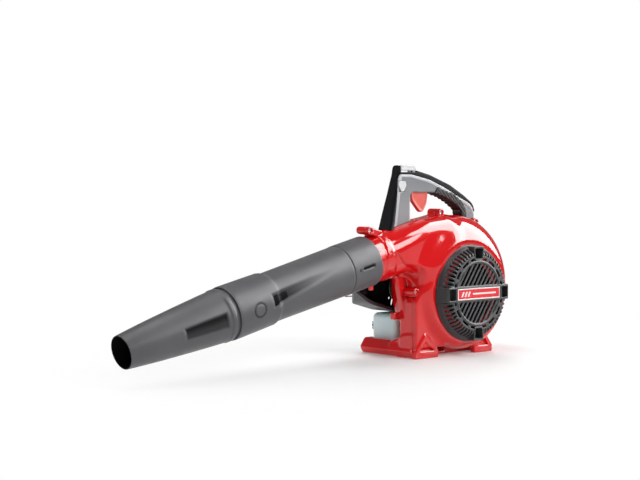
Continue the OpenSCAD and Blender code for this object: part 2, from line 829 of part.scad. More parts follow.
module throttle_trigger() color("red") difference() {
    slab(-5, 5) trigger_outline();
    y_cyl(2 + run_gap, -6, 6, pivot_x, pivot_z);
}

module trigger_pin() color("silver") y_cyl(2, -handle_half, handle_half, pivot_x, pivot_z);

module trigger_spring() color("steelblue")
    for (s = [-1, 1])
        y_ring(4.5, 3, s * 8 - 1.4, s * 8 + 1.4, pivot_x, pivot_z);

// Lever on top of the handle, notched for the two ears that hold its pin.
module cruise_lever() color("lightgray") difference() {
    slab(-11.5, 11.5)
        polygon([[-146, 372.5], [-146, 381], [-142, 384], [-110, 384], [-104, 378], [-103.5, 373]]);
    for (s = [-1, 1])
        box([cruise_x - 6, s * 6.5 - 2.1, 370], [-100, s * 6.5 + 2.1, 381]);
    y_cyl(1.5 + run_gap, -6, 6, cruise_x, cruise_z);
}

module cruise_ears()
    for (s = [-1, 1])
        slab(s * 6.5 - 1.5, s * 6.5 + 1.5)
            polygon([[cruise_x - 4, 362], [cruise_x + 4, 362], [cruise_x + 3, 378.5],
                [cruise_x - 3, 378.5]]);

module cruise_pin() color("silver") y_cyl(1.5, -8, 8, cruise_x, cruise_z);

module stop_switch() color("gainsboro") box([-153, -handle_half - 3, 338], [-138, -handle_half + 3, 351.5]);

module throttle_cable() color("black") {
    path = [[-130, handle_half + 1.8, 292], [-120, 44.2, 258], [-96, 44.2, 212],
        [-64, crank_y - 14, deck_z + 33.6]];
    for (i = [0:2])
        rod(path[i], path[i + 1], 1.4);
    for (i = [1:2])
        translate(path[i]) sphere(r = 2.2);
}

// ---- air tube ------------------------------------------------------------

module upper_tube() color("#5a5a5f") on_tube() difference() {
    rotate_extrude() polygon([[collar_r - 3.6, 0], [collar_r, 0], [collar_r, collar_len - 2],
        [collar_r - 1.4, collar_len], [collar_r - 0.6, collar_len + 2],
        [waist_r, tube_len - sleeve_len - 8], [collar_r, tube_len - sleeve_len],
        [collar_r + 0.6, tube_len], [collar_r - 2, tube_len], [collar_r - 2.2, tube_len - sleeve_len + 2],
        [waist_r - 2.6, tube_len - sleeve_len - 8], [collar_r - 3.8, collar_len + 12],
        [collar_r - 3.6, collar_len + 2]]);
    translate([0, -collar_r, lock_d]) rotate([90, 0, 0]) cylinder(r = 3, h = 12, center = true);
    translate([-1.5, -collar_r - 6, lock_d - 37]) cube([3, 12, 28]);
}

module nozzle() color("#5a5a5f") on_tube(tube_len) difference() {
    rotate_extrude() polygon([[collar_r - 4.8, -60], [collar_r - 2.4, -60], [collar_r - 2.4, 0],
        [collar_r - 3, 1], [collar_r - 3, 7], [collar_r - 0.6, 7], [collar_r - 0.6, 7 + nozzle_step],
        [collar_r - 2, 9 + nozzle_step], [44.4, 70], [40.4, 120], [35.4, 175], [mouth_r, nozzle_len],
        [nozzle_bore_r, nozzle_len], [nozzle_bore_r, nozzle_len - nozzle_bore_len], [32.8, 172],
        [37.8, 118], [41.8, 68], [collar_r - 4.8, 9]]);
}

module tube_lock_screw() color("black")
    on_tube(lock_d) rotate([90, 0, 0]) translate([0, 0, neck_r]) cylinder(r = 2.9, h = 4.4);

inlet_housing();
engine_side_housing();
inlet_grille();
grille_badge();
grille_screws();
housing_screws();
impeller();
impeller_nut();
crankshaft();
flywheel();
flywheel_nut();
crank_bearings();
crank_seals();
crankcase();
crankcase_screws();
cylinder_node();  // cylinder
piston();
piston_ring();
wrist_pin();
connecting_rod();
crankpin();
spark_plug();
spark_plug_boot();
ignition_coil();
muffler();
carburetor();
intake_insulator();
air_filter();
choke_lever();
primer_base();
primer_bulb();
fuel_tank();
fuel_cap();
fuel_cap_seal();
fuel_line();
engine_cover();
starter_housing();
starter_screws();
starter_pulley();
recoil_spring();
starter_rope();
pull_handle();
handle_left();
handle_right();
handle_trim();
handle_grip();
handle_screws();
throttle_trigger();
trigger_pin();
trigger_spring();
cruise_lever();
cruise_pin();
stop_switch();
throttle_cable();
upper_tube();
nozzle();
tube_lock_screw();
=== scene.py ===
"""Looks of the hand-held petrol leaf blower: moulded shells, grille, handle, tube, cover and finishes.

Each moulded piece is a distance field, given as a function of x, y and z in millimetres, that is
negative inside the piece. skin() turns a field into a mesh, and piece() gives the mesh its finish
and its CAD body.
"""

import json
import math

import bpy
import numpy as np
import openvdb as vdb
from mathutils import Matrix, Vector


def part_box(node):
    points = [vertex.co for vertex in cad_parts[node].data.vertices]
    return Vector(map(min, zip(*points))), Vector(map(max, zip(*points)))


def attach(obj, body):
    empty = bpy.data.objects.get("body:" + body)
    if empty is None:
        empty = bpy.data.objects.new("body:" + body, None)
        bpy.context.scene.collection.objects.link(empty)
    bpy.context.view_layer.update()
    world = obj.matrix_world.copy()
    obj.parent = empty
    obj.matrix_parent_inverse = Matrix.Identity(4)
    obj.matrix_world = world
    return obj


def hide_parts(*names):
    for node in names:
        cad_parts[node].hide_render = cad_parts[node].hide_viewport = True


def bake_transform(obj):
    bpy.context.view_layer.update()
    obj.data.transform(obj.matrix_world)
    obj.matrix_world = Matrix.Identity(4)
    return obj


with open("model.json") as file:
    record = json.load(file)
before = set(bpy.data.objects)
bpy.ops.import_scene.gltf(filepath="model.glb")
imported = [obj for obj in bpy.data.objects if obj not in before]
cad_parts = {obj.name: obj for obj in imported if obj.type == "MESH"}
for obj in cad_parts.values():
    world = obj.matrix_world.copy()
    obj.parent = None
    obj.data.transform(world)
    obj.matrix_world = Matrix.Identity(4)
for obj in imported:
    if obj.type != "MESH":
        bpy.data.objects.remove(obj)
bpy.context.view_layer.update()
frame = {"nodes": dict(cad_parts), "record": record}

MM = 0.001
COARSE = 1.0
ROOM_LIGHT = 0.18
WINDOW_GLARE = 12.0
FLOOR_GLOW = 0.15

# ---- places taken from the frame -------------------------------------------------------------


def node_box(node):
    """Lowest and highest corner of a CAD node, in millimetres."""
    low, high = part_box(node)
    return np.array(low) / MM, np.array(high) / MM


def middle(node):
    low, high = node_box(node)
    return (low + high) / 2


AXIS_Z = middle("impeller")[2]
BADGE_LOW, BADGE_HIGH = node_box("grille_badge")
COVER_LOW, COVER_HIGH = node_box("engine_cover")
TANK_LOW, TANK_HIGH = node_box("fuel_tank")
CAP_LOW, CAP_HIGH = node_box("fuel_cap")
STARTER_LOW, STARTER_HIGH = node_box("starter_housing")
HANDLE_LOW, HANDLE_HIGH = node_box("handle_left")
LEVER_LOW, LEVER_HIGH = node_box("cruise_lever")
SWITCH_LOW, SWITCH_HIGH = node_box("stop_switch")
ROPE_LOW, ROPE_HIGH = node_box("starter_rope")
PULL_LOW, PULL_HIGH = node_box("pull_handle")
CRANK_Y = middle("cylinder")[1]

FRONT_Y = -60.0
BACK_Y = 42.0
WALL = 3.0
SEAM_LOW_Y = -37.0
SEAM_HIGH_Y = -12.0
SEAM_STEP_Z = 122.0
SEAM_GAP = 0.35
SCROLL_R = 130.0
SCROLL_LOW_Z = AXIS_Z + 13
SCROLL_RISE = 14.0
SEAT_R = 101.0
BACK_R = 117.0
INLET_R = 66.0
NECK_R = 46.0
SLOPE = math.radians(13.5)
COLLAR = np.array([-233.0, 0.0, 196.0])
TUBE_LEN = 354.0
FOOT_NEAR_Y = -47.0
FOOT_FAR_Y = node_box("engine_side_housing")[1][1]
BOSS_R = 7.5
BOSSES = [(-42, 289, -22, 12), (-239, 256, -22, 12), (61, 268, -22, 10), (-134, 133, -42, 8)]
TONGUE = [(-240, 250), (-206, 240), (-206, 255), (-236, 262)]
ARCH = [(-170, 250), (-168.5, 262), (-156, 347), (-152.5, 363), (-147, 366), (-115, 365.5), (-66, 355.5),
        (-20, 339), (14, 323), (50, 308), (61, 300), (66, 288), (67, 272), (60, 262), (30, 262), (30, 279),
        (25.5, 294.8), (2, 309.8), (-23.5, 321.3), (-51, 329.3), (-68, 330.5), (-88, 329),
        (-113, 331), (-120.5, 324), (-120.5, 250)]
STRIP = [(-151, 356), (-151, 375), (-148, 382), (-144, 384), (-107, 374.5), (-64, 365), (-5, 344.5),
         (38, 322), (62, 306.5), (70, 290), (64, 288), (59, 298), (48, 306), (12, 321), (-22, 337),
         (-68, 353), (-117, 363)]
GRIP = [(-53, 327.8), (-24.2, 319.8), (1, 308.4), (24.3, 293.6), (28.4, 278.6), (28.4, 270),
        (43.5, 270), (40, 294), (29, 310.5), (2, 327.5), (-20, 332.5), (-45, 342)]
TRIGGER = [(-112, 338), (-108, 347), (-73, 339), (-64, 329), (-68, 306), (-79, 290), (-86, 290), (-109, 314)]
PIVOT = (-104, 342)
LEVER_PIN = (-107, 375)
COVER = [(-222, 136), (-178, 107), (-96, 84), (30, 84), (88, 100), (104, 150), (98, 214),
         (66, 256), (30, 267), (-30, 267), (-62, 252), (-128, 206), (-150, 168), (-210, 160)]
COVER_SLANT = math.radians(41)
STARTER_R = 58.0
LEVER_EAR_Y = 6.5

# ---- distance fields -------------------------------------------------------------------------


def joined(a, b, k=1.0):
    """Union of two fields with a fillet of about k."""
    h = np.maximum(k - np.abs(a - b), 0) / k
    return np.minimum(a, b) - h * h * k / 4


def common(a, b, k=1.0):
    """What two fields share, with its new edge rounded."""
    return -joined(-a, -b, k)


def without(a, b, k=1.0):
    """a with b cut away, with the new edge rounded."""
    return -joined(-a, b, k)


def between(value, low, high):
    return np.abs(value - (low + high) / 2) - (high - low) / 2


def prism(outline, across, low, high, edge=1.5):
    """An outline's field carried from low to high along the third direction, with rounded edges."""
    side = between(across, low, high) + edge
    rim = outline + edge
    outside = np.sqrt(np.maximum(rim, 0) ** 2 + np.maximum(side, 0) ** 2)
    return outside + np.minimum(np.maximum(rim, side), 0) - edge


def block(x, y, z, low, high, edge=1.5):
    """A box with rounded edges."""
    parts = [between(v, a, b) + edge for v, a, b in zip((x, y, z), low, high)]
    outside = np.sqrt(sum(np.maximum(p, 0) ** 2 for p in parts))
    inside = np.maximum(parts[0], np.maximum(parts[1], parts[2]))
    return outside + np.minimum(inside, 0) - edge


def rounded(points, radius, steps=4):
    """The outline with each corner turned into a curve that starts radius away from it."""
    points = [np.array(p, float) for p in points]
    out = []
    for before, corner, after in zip(points[-1:] + points[:-1], points, points[1:] + points[:1]):
        start = before - corner
        end = after - corner
        start *= min(radius, np.linalg.norm(start) * 0.45) / np.linalg.norm(start)
        end *= min(radius, np.linalg.norm(end) * 0.45) / np.linalg.norm(end)
        for i in range(steps + 1):
            t = i / steps
            out.append(corner + start * (1 - t) ** 2 + end * t ** 2)
    return out


def polygon(u, v, points):
    """Exact field of a closed outline of (u, v) points."""
    points = [np.asarray(p, float) for p in points]
    nearest = np.float32(1e12)
    sign = np.float32(1)
    for a, b in zip(points, points[-1:] + points[:-1]):
        eu, ev = b - a
        wu, wv = u - a[0], v - a[1]
        share = np.clip((wu * eu + wv * ev) / (eu * eu + ev * ev), 0, 1)
        nearest = np.minimum(nearest, (wu - eu * share) ** 2 + (wv - ev * share) ** 2)
        above, below, left = v >= a[1], v < b[1], eu * wv > ev * wu
        flip = (above & below & left) | ~(above | below | left)
        sign = np.where(flip, -sign, sign)
    return sign * np.sqrt(nearest)


def disc(u, v, centre, radius):
    return np.hypot(u - centre[0], v - centre[1]) - radius


def rod(u, v, w, centre, radius, low, high, edge=0.8):
    """A cylinder along w from low to high."""
    return prism(disc(u, v, centre, radius), w, low, high, edge)


def curve(t, knots, values):
    """Smooth curve through (knot, value) pairs."""
    knots, values = np.array(knots, float), np.array(values, float)
    slopes = np.gradient(values, knots)
    i = np.clip(np.searchsorted(knots, t) - 1, 0, len(knots) - 2)
    width = knots[i + 1] - knots[i]
    s = np.clip((t - knots[i]) / width, 0, 1)
    rise = values[i + 1] - values[i]
    return (values[i] + rise * s * s * (3 - 2 * s)
            + width * (slopes[i] * s * (1 - s) ** 2 - slopes[i + 1] * s * s * (1 - s)))


# ---- from a field to a piece -----------------------------------------------------------------


def settle(field, points, reach, rounds=3):
    """Moves points onto the surface where the field is zero."""
    small = reach * 0.05
    for _ in range(rounds):
        x, y, z = points.T
        here = field(x, y, z)
        slope = np.stack([field(x + small, y, z) - here, field(x, y + small, z) - here,
                          field(x, y, z + small) - here], axis=1) / small
        steep = np.maximum((slope ** 2).sum(1), 0.05)
        move = slope * (here / steep)[:, None]
        far = np.maximum(np.linalg.norm(move, axis=1) / (reach * 0.6), 1)
        points = points - move / far[:, None]
    return points


def skin(field, low, high, step):
    """Points in millimetres and quads of the surface where the field is zero, inside the box low..high."""
    step = step * COARSE
    axes = [np.arange(a - 2.5 * step, b + 3 * step, step) for a, b in zip(low, high)]
    x, y, z = np.meshgrid(*axes, indexing="ij", sparse=True)
    shape = tuple(len(a) for a in axes)
    values = np.broadcast_to(field(x, y, z) / step, shape)
    grid = vdb.FloatGrid(3.0)
    grid.copyFromArray(np.ascontiguousarray(np.clip(values, -3, 3), dtype=np.float32))
    points, quads = grid.convertToQuads(0.0)
    points = points.astype(float) * step + np.array([a[0] for a in axes])
    points = settle(field, points, step)
    a, b, c = points[quads[:, 0]], points[quads[:, 1]], points[quads[:, 2]]
    if (a * np.cross(b, c)).sum() < 0:
        quads = quads[:, ::-1]
    return points, quads


def joined_meshes(parts):
    """Several (points, faces) pairs as one."""
    points, faces, base = [], [], 0
    for p, f in parts:
        points.append(p)
        faces += [[i + base for i in face] for face in np.asarray(f).tolist()]
        base += len(p)
    return np.vstack(points), faces


def piece(name, mesh_data, body, slot, nodes=(), sharp=45, shade=None):
    """Makes a piece from points and faces, which rides on a body and stands for CAD nodes."""
    points, faces = mesh_data
    mesh = bpy.data.meshes.new(name)
    mesh.from_pydata((points * MM).tolist(), [], [list(f) for f in faces])
    mesh.validate()
    if shade is not None:
        layer = mesh.attributes.new("shade", "FLOAT", "POINT")
        layer.data.foreach_set("value", np.asarray(shade(*points.T), np.float32))
    mesh.shade_smooth()
    mesh.set_sharp_from_angle(angle=math.radians(sharp))
    obj = bpy.data.objects.new(name, mesh)
    bpy.context.scene.collection.objects.link(obj)
    mesh.materials.append(finishes[slot])
    if body:
        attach(obj, body)
    if nodes:
        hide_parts(*nodes)
    return obj


# ---- finishes --------------------------------------------------------------------------------


class Finish:
    """Builds one node material, with helpers that add nodes and link them."""

    def __init__(self, name):
        self.material = bpy.data.materials.new(name)
        self.material.use_nodes = True
        self.tree = self.material.node_tree
        self.surface = self.tree.nodes["Principled BSDF"]
        self.place = self.add("ShaderNodeTexCoord").outputs["Object"]

    def add(self, kind, **settings):
        made = self.tree.nodes.new(kind)
        for key, value in settings.items():
            setattr(made, key, value)
        return made

    def link(self, source, target):
        self.tree.links.new(source, target)

    def set(self, **values):
        for key, value in values.items():
            self.surface.inputs[key.replace("_", " ")].default_value = value

    def noise(self, scale, detail=3.0, stretch=(1, 1, 1)):
        mapping = self.add("ShaderNodeMapping")
        mapping.inputs["Scale"].default_value = stretch
        self.link(self.place, mapping.inputs["Vector"])
        made = self.add("ShaderNodeTexNoise")
        made.inputs["Scale"].default_value = scale
        made.inputs["Detail"].default_value = detail
        self.link(mapping.outputs["Vector"], made.inputs["Vector"])
        return made.outputs["Fac"]

    def ramp(self, source, low, high, start=0.3, end=0.7):
        made = self.add("ShaderNodeMapRange")
        made.inputs["From Min"].default_value = start
        made.inputs["From Max"].default_value = end
        made.inputs["To Min"].default_value = low
        made.inputs["To Max"].default_value = high
        self.link(source, made.inputs["Value"])
        return made.outputs["Result"]

    def mix(self, share, first, second):
        made = self.add("ShaderNodeMix", data_type="RGBA")
        self.link(share, made.inputs["Factor"])
        for socket, value in (("A", first), ("B", second)):
            target = [i for i in made.inputs if i.name == socket and i.type == "RGBA"][0]
            if isinstance(value, tuple):
                target.default_value = (*value, 1)
            else:
                self.link(value, target)
        return [o for o in made.outputs if o.type == "RGBA"][0]

    def bump(self, height, strength, distance):
        made = self.add("ShaderNodeBump")
        made.inputs["Strength"].default_value = strength
        made.inputs["Distance"].default_value = distance
        previous = self.surface.inputs["Normal"]
        if previous.is_linked:
            self.link(previous.links[0].from_socket, made.inputs["Normal"])
        self.link(height, made.inputs["Height"])
        self.link(made.outputs["Normal"], previous)


def tone(colour, factor):
    return tuple(min(c * factor, 1.0) for c in colour)


def moulded(name, colour, rough, grain=900, depth=0.00004, spread=0.12, coat=0.0, wear_and_highlight_tone=0.3):
    """Moulded plastic or rubber: cloudy colour, uneven roughness, fine grain; edges lightened as wear and
    painted highlight.
    """
    f = Finish(name)
    clouds = f.ramp(f.noise(14), 0, 1)
    base = f.mix(clouds, tone(colour, 1 - spread), tone(colour, 1 + spread))
    # Painted highlight and wear: convex edges, found by Pointiness, are lightened towards mid grey.
    wear_and_highlight = f.ramp(f.add("ShaderNodeNewGeometry").outputs["Pointiness"], 0, 0.35, 0.53, 0.62)
    lighter = tuple(c + (0.5 - c) * wear_and_highlight_tone for c in colour)
    f.link(f.mix(wear_and_highlight, base, lighter), f.surface.inputs["Base Color"])
    f.link(f.ramp(f.noise(60), rough * 0.85, rough * 1.15), f.surface.inputs["Roughness"])
    f.bump(f.noise(grain, 2.0), 0.5, depth)
    f.set(Coat_Weight=coat, Coat_Roughness=0.03, Specular_IOR_Level=0.3)
    return f


def metal(name, colour, rough, stretch=(1, 1, 1), grain=350, depth=0.00003):
    """Bare metal: brushed or cast grain, with uneven polish and darker oil stains."""
    f = Finish(name)
    stains = f.ramp(f.noise(25, 6), 0, 1, 0.35, 0.75)
    base = f.mix(stains, tone(colour, 1.05), tone(colour, 0.72))
    f.link(base, f.surface.inputs["Base Color"])
    f.link(f.ramp(f.noise(grain, 3, stretch), rough * 0.75, rough * 1.3), f.surface.inputs["Roughness"])
    f.bump(f.noise(grain, 4, stretch), 0.4, depth)
    f.set(Metallic=1.0)
    return f


def red_gloss(name, colour, rough):
    """Glossy red moulding with a clear top skin and a faint orange-peel ripple."""
    f = moulded(name, colour, rough, grain=1500, depth=0.000004, spread=0.06, coat=0.5, wear_and_highlight_tone=0.05)
    f.bump(f.noise(55, 1.0), 0.25, 0.0001)
    f.set(Specular_IOR_Level=0.35)
    return f


def painted(made, paint, shine=0.3):
    """Adds a second colour, and how much it shines, where the shade attribute says so."""
    base = made.surface.inputs["Base Color"].links[0].from_socket
    shade = made.add("ShaderNodeAttribute", attribute_name="shade").outputs["Fac"]
    made.link(made.mix(shade, base, paint), made.surface.inputs["Base Color"])
    made.link(made.ramp(shade, 0.3, shine, 0, 1), made.surface.inputs["Specular IOR Level"])
    return made


def grained_tube(name, colour, rough):
    """Blow-moulded grey plastic, darker where the shade attribute says so."""
    f = painted(moulded(name, colour, rough, grain=650, depth=0.00006, spread=0.1), tone(colour, 0.08), 0.02)
    streaks = f.noise(40, 2, (0.25, 1, 1))
    f.bump(streaks, 0.15, 0.0002)
    return f


def ribbed_rubber(name, colour, rough):
    """Soft grip with fine cross ribs."""
    f = moulded(name, colour, rough, grain=1200, depth=0.00008, spread=0.25)
    wave = f.add("ShaderNodeTexWave", bands_direction="DIAGONAL")
    wave.inputs["Scale"].default_value = 75
    wave.inputs["Distortion"].default_value = 0.4
    f.link(f.place, wave.inputs["Vector"])
    f.bump(wave.outputs["Fac"], 0.6, 0.0006)
    return f


def knurled(name, colour, rough):
    """Plastic with a coarse raised dot texture."""
    f = moulded(name, colour, rough, spread=0.06)
    dots = f.add("ShaderNodeTexVoronoi")
    dots.inputs["Scale"].default_value = 320
    f.link(f.place, dots.inputs["Vector"])
    f.bump(dots.outputs["Distance"], 0.7, 0.0005)
    return f


def milky(name, colour, rough):
    """Translucent tank plastic."""
    f = moulded(name, colour, rough, grain=500, depth=0.00003, spread=0.04)
    f.set(Subsurface_Weight=0.5, Subsurface_Scale=0.02, Transmission_Weight=0.03, IOR=1.5)
    return f


def dull(name, colour, rough):
    """Plastic that mirrors little of the bright room."""
    f = moulded(name, colour, rough, wear_and_highlight_tone=0.1)
    f.set(Specular_IOR_Level=0.12)
    return f


def braided(name, colour, rough):
    """Cord with crossing strands."""
    f = moulded(name, colour, rough, grain=2000, depth=0.0001, spread=0.2)
    for tilt in (0.9, -0.9):
        turned = f.add("ShaderNodeMapping")
        turned.inputs["Rotation"].default_value = (tilt, 0, 0)
        f.link(f.place, turned.inputs["Vector"])
        wave = f.add("ShaderNodeTexWave", bands_direction="Z")
        wave.inputs["Scale"].default_value = 260
        f.link(turned.outputs["Vector"], wave.inputs["Vector"])
        f.bump(wave.outputs["Fac"], 0.6, 0.0004)
    return f


def open_foam(name, colour, rough):
    f = moulded(name, colour, rough, spread=0.3)
    cells = f.add("ShaderNodeTexVoronoi")
    cells.inputs["Scale"].default_value = 700
    f.link(f.place, cells.inputs["Vector"])
    f.bump(cells.outputs["Distance"], 1.0, 0.001)
    return f


finishes = {
    "red_casing": red_gloss("red_casing", (0.66, 0.004, 0.006), 0.1),
    # The grille's strong lighter edges are painted highlight as well as wear.
    "grille_plastic": moulded("grille_plastic", (0.045, 0.046, 0.048), 0.4, wear_and_highlight_tone=0.35),
    "badge": painted(red_gloss("badge", (0.7, 0.012, 0.02), 0.25), (0.85, 0.83, 0.82)),
    "tube_plastic": grained_tube("tube_plastic", (0.088, 0.088, 0.094), 0.42),
    "black_plastic": dull("black_plastic", (0.005, 0.005, 0.006), 0.45),
    "grey_plastic": painted(moulded("grey_plastic", (0.5, 0.51, 0.53), 0.34, spread=0.06),
                            (0.19, 0.2, 0.21)),
    "cover_plastic": moulded("cover_plastic", (0.045, 0.045, 0.048), 0.45),
    "grip_rubber": ribbed_rubber("grip_rubber", (0.012, 0.008, 0.008), 0.6),
    # The trigger's salmon second colour is painted light on its flat sides.
    "trigger_plastic": painted(red_gloss("trigger_plastic", (0.5, 0.008, 0.02), 0.3),
                               (0.85, 0.2, 0.15)),
    "steel": metal("steel", (0.56, 0.56, 0.57), 0.3, (1, 6, 1)),
    "aluminium": metal("aluminium", (0.62, 0.62, 0.63), 0.45, grain=900, depth=0.0001),
    "spring_steel": metal("spring_steel", (0.34, 0.35, 0.37), 0.3),
    "ceramic": moulded("ceramic", (0.75, 0.74, 0.7), 0.15, depth=0.00001, spread=0.04, coat=0.5),
    "rubber": moulded("rubber", (0.016, 0.016, 0.016), 0.6),
    "rope": braided("rope", (0.02, 0.02, 0.02), 0.8),
    "tank_plastic": milky("tank_plastic", (0.93, 0.94, 0.91), 0.35),
    "fuel_hose": moulded("fuel_hose", (0.45, 0.34, 0.1), 0.3),
    "foam": open_foam("foam", (0.03, 0.03, 0.033), 0.9),
    "choke_plastic": moulded("choke_plastic", (0.75, 0.14, 0.01), 0.35),
    "switch_plastic": knurled("switch_plastic", (0.62, 0.63, 0.64), 0.45),
    "pulley_plastic": moulded("pulley_plastic", (0.5, 0.5, 0.45), 0.4),
}
finishes = {slot: made.material for slot, made in finishes.items()}

def moulding(name, field, node, room, cell, body, finish, shade=None):
    """A piece whose field fills a CAD node's box; room is the space left below and above the box."""
    low, high = node_box(node)
    return piece(name, skin(field, low - room[0], high + room[1], cell), body, finish, [node], shade=shade)


# ---- red casing ------------------------------------------------------------------------------


def circle_share(x, z, small, large):
    """0 on the small circle and 1 on the large one, along a cone of circles; circles are (x, z, radius)."""
    dx, dz, dr = large[0] - small[0], large[1] - small[1], large[2] - small[2]
    qx, qz = x - small[0], z - small[1]
    a = dr * dr - dx * dx - dz * dz
    b = qx * dx + qz * dz + small[2] * dr
    c = qx * qx + qz * qz - small[2] ** 2
    away = np.maximum(np.hypot(qx, qz), 1)
    spacing = dr + (qx * dx + qz * dz) / away
    return (np.sqrt(np.maximum(b * b + a * c, 0)) - b) / a, spacing


def shoulder(share, depth, power):
    return (np.maximum(share, 0) ** power + np.maximum(depth, 0) ** power) ** (1 / power) - 1


def scroll(x, y, z, grow):
    """The fan casing: circles along Y that close in a soft shoulder towards the grille and the engine."""
    rim = (0, SCROLL_LOW_Z, SCROLL_R + grow)
    shoulder_y, back_y = -18.0, 16.0
    straight = np.clip(1 - ((shoulder_y - y) / (shoulder_y - FRONT_Y)), 0, 1) ** 0.6
    z = z - straight * np.clip(z - SCROLL_LOW_Z, 0, SCROLL_RISE)
    share, spacing = circle_share(x, z, (0, AXIS_Z, SEAT_R + grow), rim)
    near = shoulder(share, (shoulder_y - y) / (shoulder_y - FRONT_Y + grow), 2.15) * spacing
    share, spacing = circle_share(x, z, (0, AXIS_Z + 12, BACK_R + grow), rim)
    far = shoulder(share, (y - back_y) / (BACK_Y - back_y + grow), 2.4) * spacing
    return np.where(y < 0, near, far)


def along_tube(x, z):
    """Distance along the tube's axis from the collar, and across it upwards."""
    dx, dz = x - COLLAR[0], z - COLLAR[2]
    return -dx * math.cos(SLOPE) - dz * math.sin(SLOPE), dz * math.cos(SLOPE) - dx * math.sin(SLOPE)


def duct(x, y, z, grow):
    """Air duct from the scroll to the round neck: a rounded box that narrows towards the neck."""
    knots = (-240, -204, -150, -104, -40)
    top = curve(x, knots, (241.8, 250.4, 265, 275.5, 281)) + grow
    bottom = curve(x, knots, (147.2, 155.6, 163, 172, 174)) - grow
    near = curve(x, knots, (-46, -46, -50.5, -52, -52)) - grow
    far = curve(x, knots, (46, 46, 42, 38, 38)) + grow
    upper_r = curve(x, knots, (46.5, 46.5, 40, 34, 32)) + grow
    lower_r = curve(x, knots, (46.5, 46.5, 26, 15, 14)) + grow
    radius = np.where(z > (top + bottom) / 2, upper_r, lower_r)
    side = between(y, near, far) + radius
    rise = between(z, bottom, top) + radius
    section = (np.hypot(np.maximum(side, 0), np.maximum(rise, 0))
               + np.minimum(np.maximum(side, rise), 0) - radius)
    whole = common(common(section, x + 30, 22), -212 - x, 2)
    ledge = curve(x, (-240, -186, -175, -150, -124, -104, -90), (194, 210.5, 198, 190.5, 185, 179, 172))
    inset = curve(x, (-240, -184, -150, -116, -98), (2.5, 3, 9, 12, 2.0))
    below_ledge = np.maximum((z - ledge - np.minimum(section, 0)) / math.sqrt(2), -(section + inset))
    below_ledge = np.maximum(below_ledge, y + 12)
    return without(whole, below_ledge, 1.5)


def neck(x, y, z, radius, low=-36, high=68):
    along, up = along_tube(x, z)
    return prism(np.hypot(up, y) - radius, along, low, high, 1.0)


def casing_skin(x, y, z, grow):
    return joined(scroll(x, y, z, grow), duct(x, y, z, grow), 26)


def cheek(x, y, z):
    """Block between the front foot and the duct, at the near side of the pocket."""
    corners = [(-138, 20), (-138, 116), (-128, 131), (-92, 152), (-58, 90), (-58, 20)]
    return prism(polygon(x, z, rounded(corners, 6)), y, FOOT_NEAR_Y + 1, 2, 5)


def pocket_wall(x, y, z):
    """Wall behind the pocket, whose leading edge runs from the neck down to the foot."""
    corners = [(-162, 172), (-150, 130), (-132, 80), (-114, 44), (-90, 44), (-90, 180)]
    return prism(polygon(x, z, rounded(corners, 5)), y, SEAM_HIGH_Y, 2, 2)


def foot(x, y, z, outer, inner, lean):
    """A long cross foot with a ridge along its outer side, and a ramp up to the casing."""
    out = 1 if outer > inner else -1
    bar = [(outer, 13), (outer - out * 13, 31), (inner, 31), (inner, 0), (outer - out * 6, 0)]
    long_bar = prism(polygon(x, z, rounded(bar, 4)), y, SEAM_LOW_Y - 1, FOOT_FAR_Y, 7)
    ramp = polygon(y, z, rounded([(-40, 8), (-40, 50), (-14, 48), (32, 29), (32, 8)], 6))
    low_x, high_x = sorted((outer - out * 4, inner + out * 2))
    long_bar = joined(long_bar, prism(ramp, x, low_x, high_x, 5), 8)
    wide = inner - out * lean
    gusset = [(outer, 0), (outer, 13), ((outer + inner) / 2 - out * 10, 47), (wide, 14), (wide, 0)]
    window = [(outer - out * 13, 14), ((outer + inner) / 2 - out * 9, 36), (wide + out * 12, 14)]
    end = prism(polygon(x, z, rounded(gusset, 3)), y, FOOT_NEAR_Y, SEAM_LOW_Y + 2, 2)
    end = without(end, prism(polygon(x, z, rounded(window, 3)), y, FOOT_NEAR_Y - 5, FOOT_NEAR_Y + 6, 1), 1.2)
    return joined(long_bar, end, 1.5)


def bosses(x, y, z):
    """Round screw bosses, and the small webs that carry them."""
    found = np.float32(1e6)
    for bx, bz, near, far in BOSSES:
        found = np.minimum(found, rod(x, z, y, (bx, bz), BOSS_R, near, far, 1.2))
    tongue = polygon(x, z, rounded(TONGUE, 2))
    web = polygon(x, z, rounded([(-52, 268), (-32, 268), (-37, 290), (-47, 290)], 2))
    return joined(found, prism(np.minimum(tongue, web), y, -20, 10, 1.5), 4)


def casing_outside(x, y, z):
    body = joined(casing_skin(x, y, z, 0), cheek(x, y, z), 12)
    body = joined(body, pocket_wall(x, y, z), 5)
    body = joined(body, neck(x, y, z, NECK_R), 8)
    body = joined(body, bosses(x, y, z), 3)
    feet = np.minimum(foot(x, y, z, -141, -107, 32), foot(x, y, z, 85, 51, 21))
    keel = block(x, y, z, (-136, -12, 0), (80, 12, 7), 2)
    keel = joined(keel, block(x, y, z, (-20, -10, 5), (20, 10, 16), 2), 3)
    tabs = np.minimum(block(x, y, z, (-222, -3, 138), (-213, 3, 160), 1.2),
                      block(x, y, z, (-152, 0, 76), (-130, 14, 90), 2))
    body = joined(body, joined(feet, keel, 4), 6)
    return joined(body, tabs, 2)


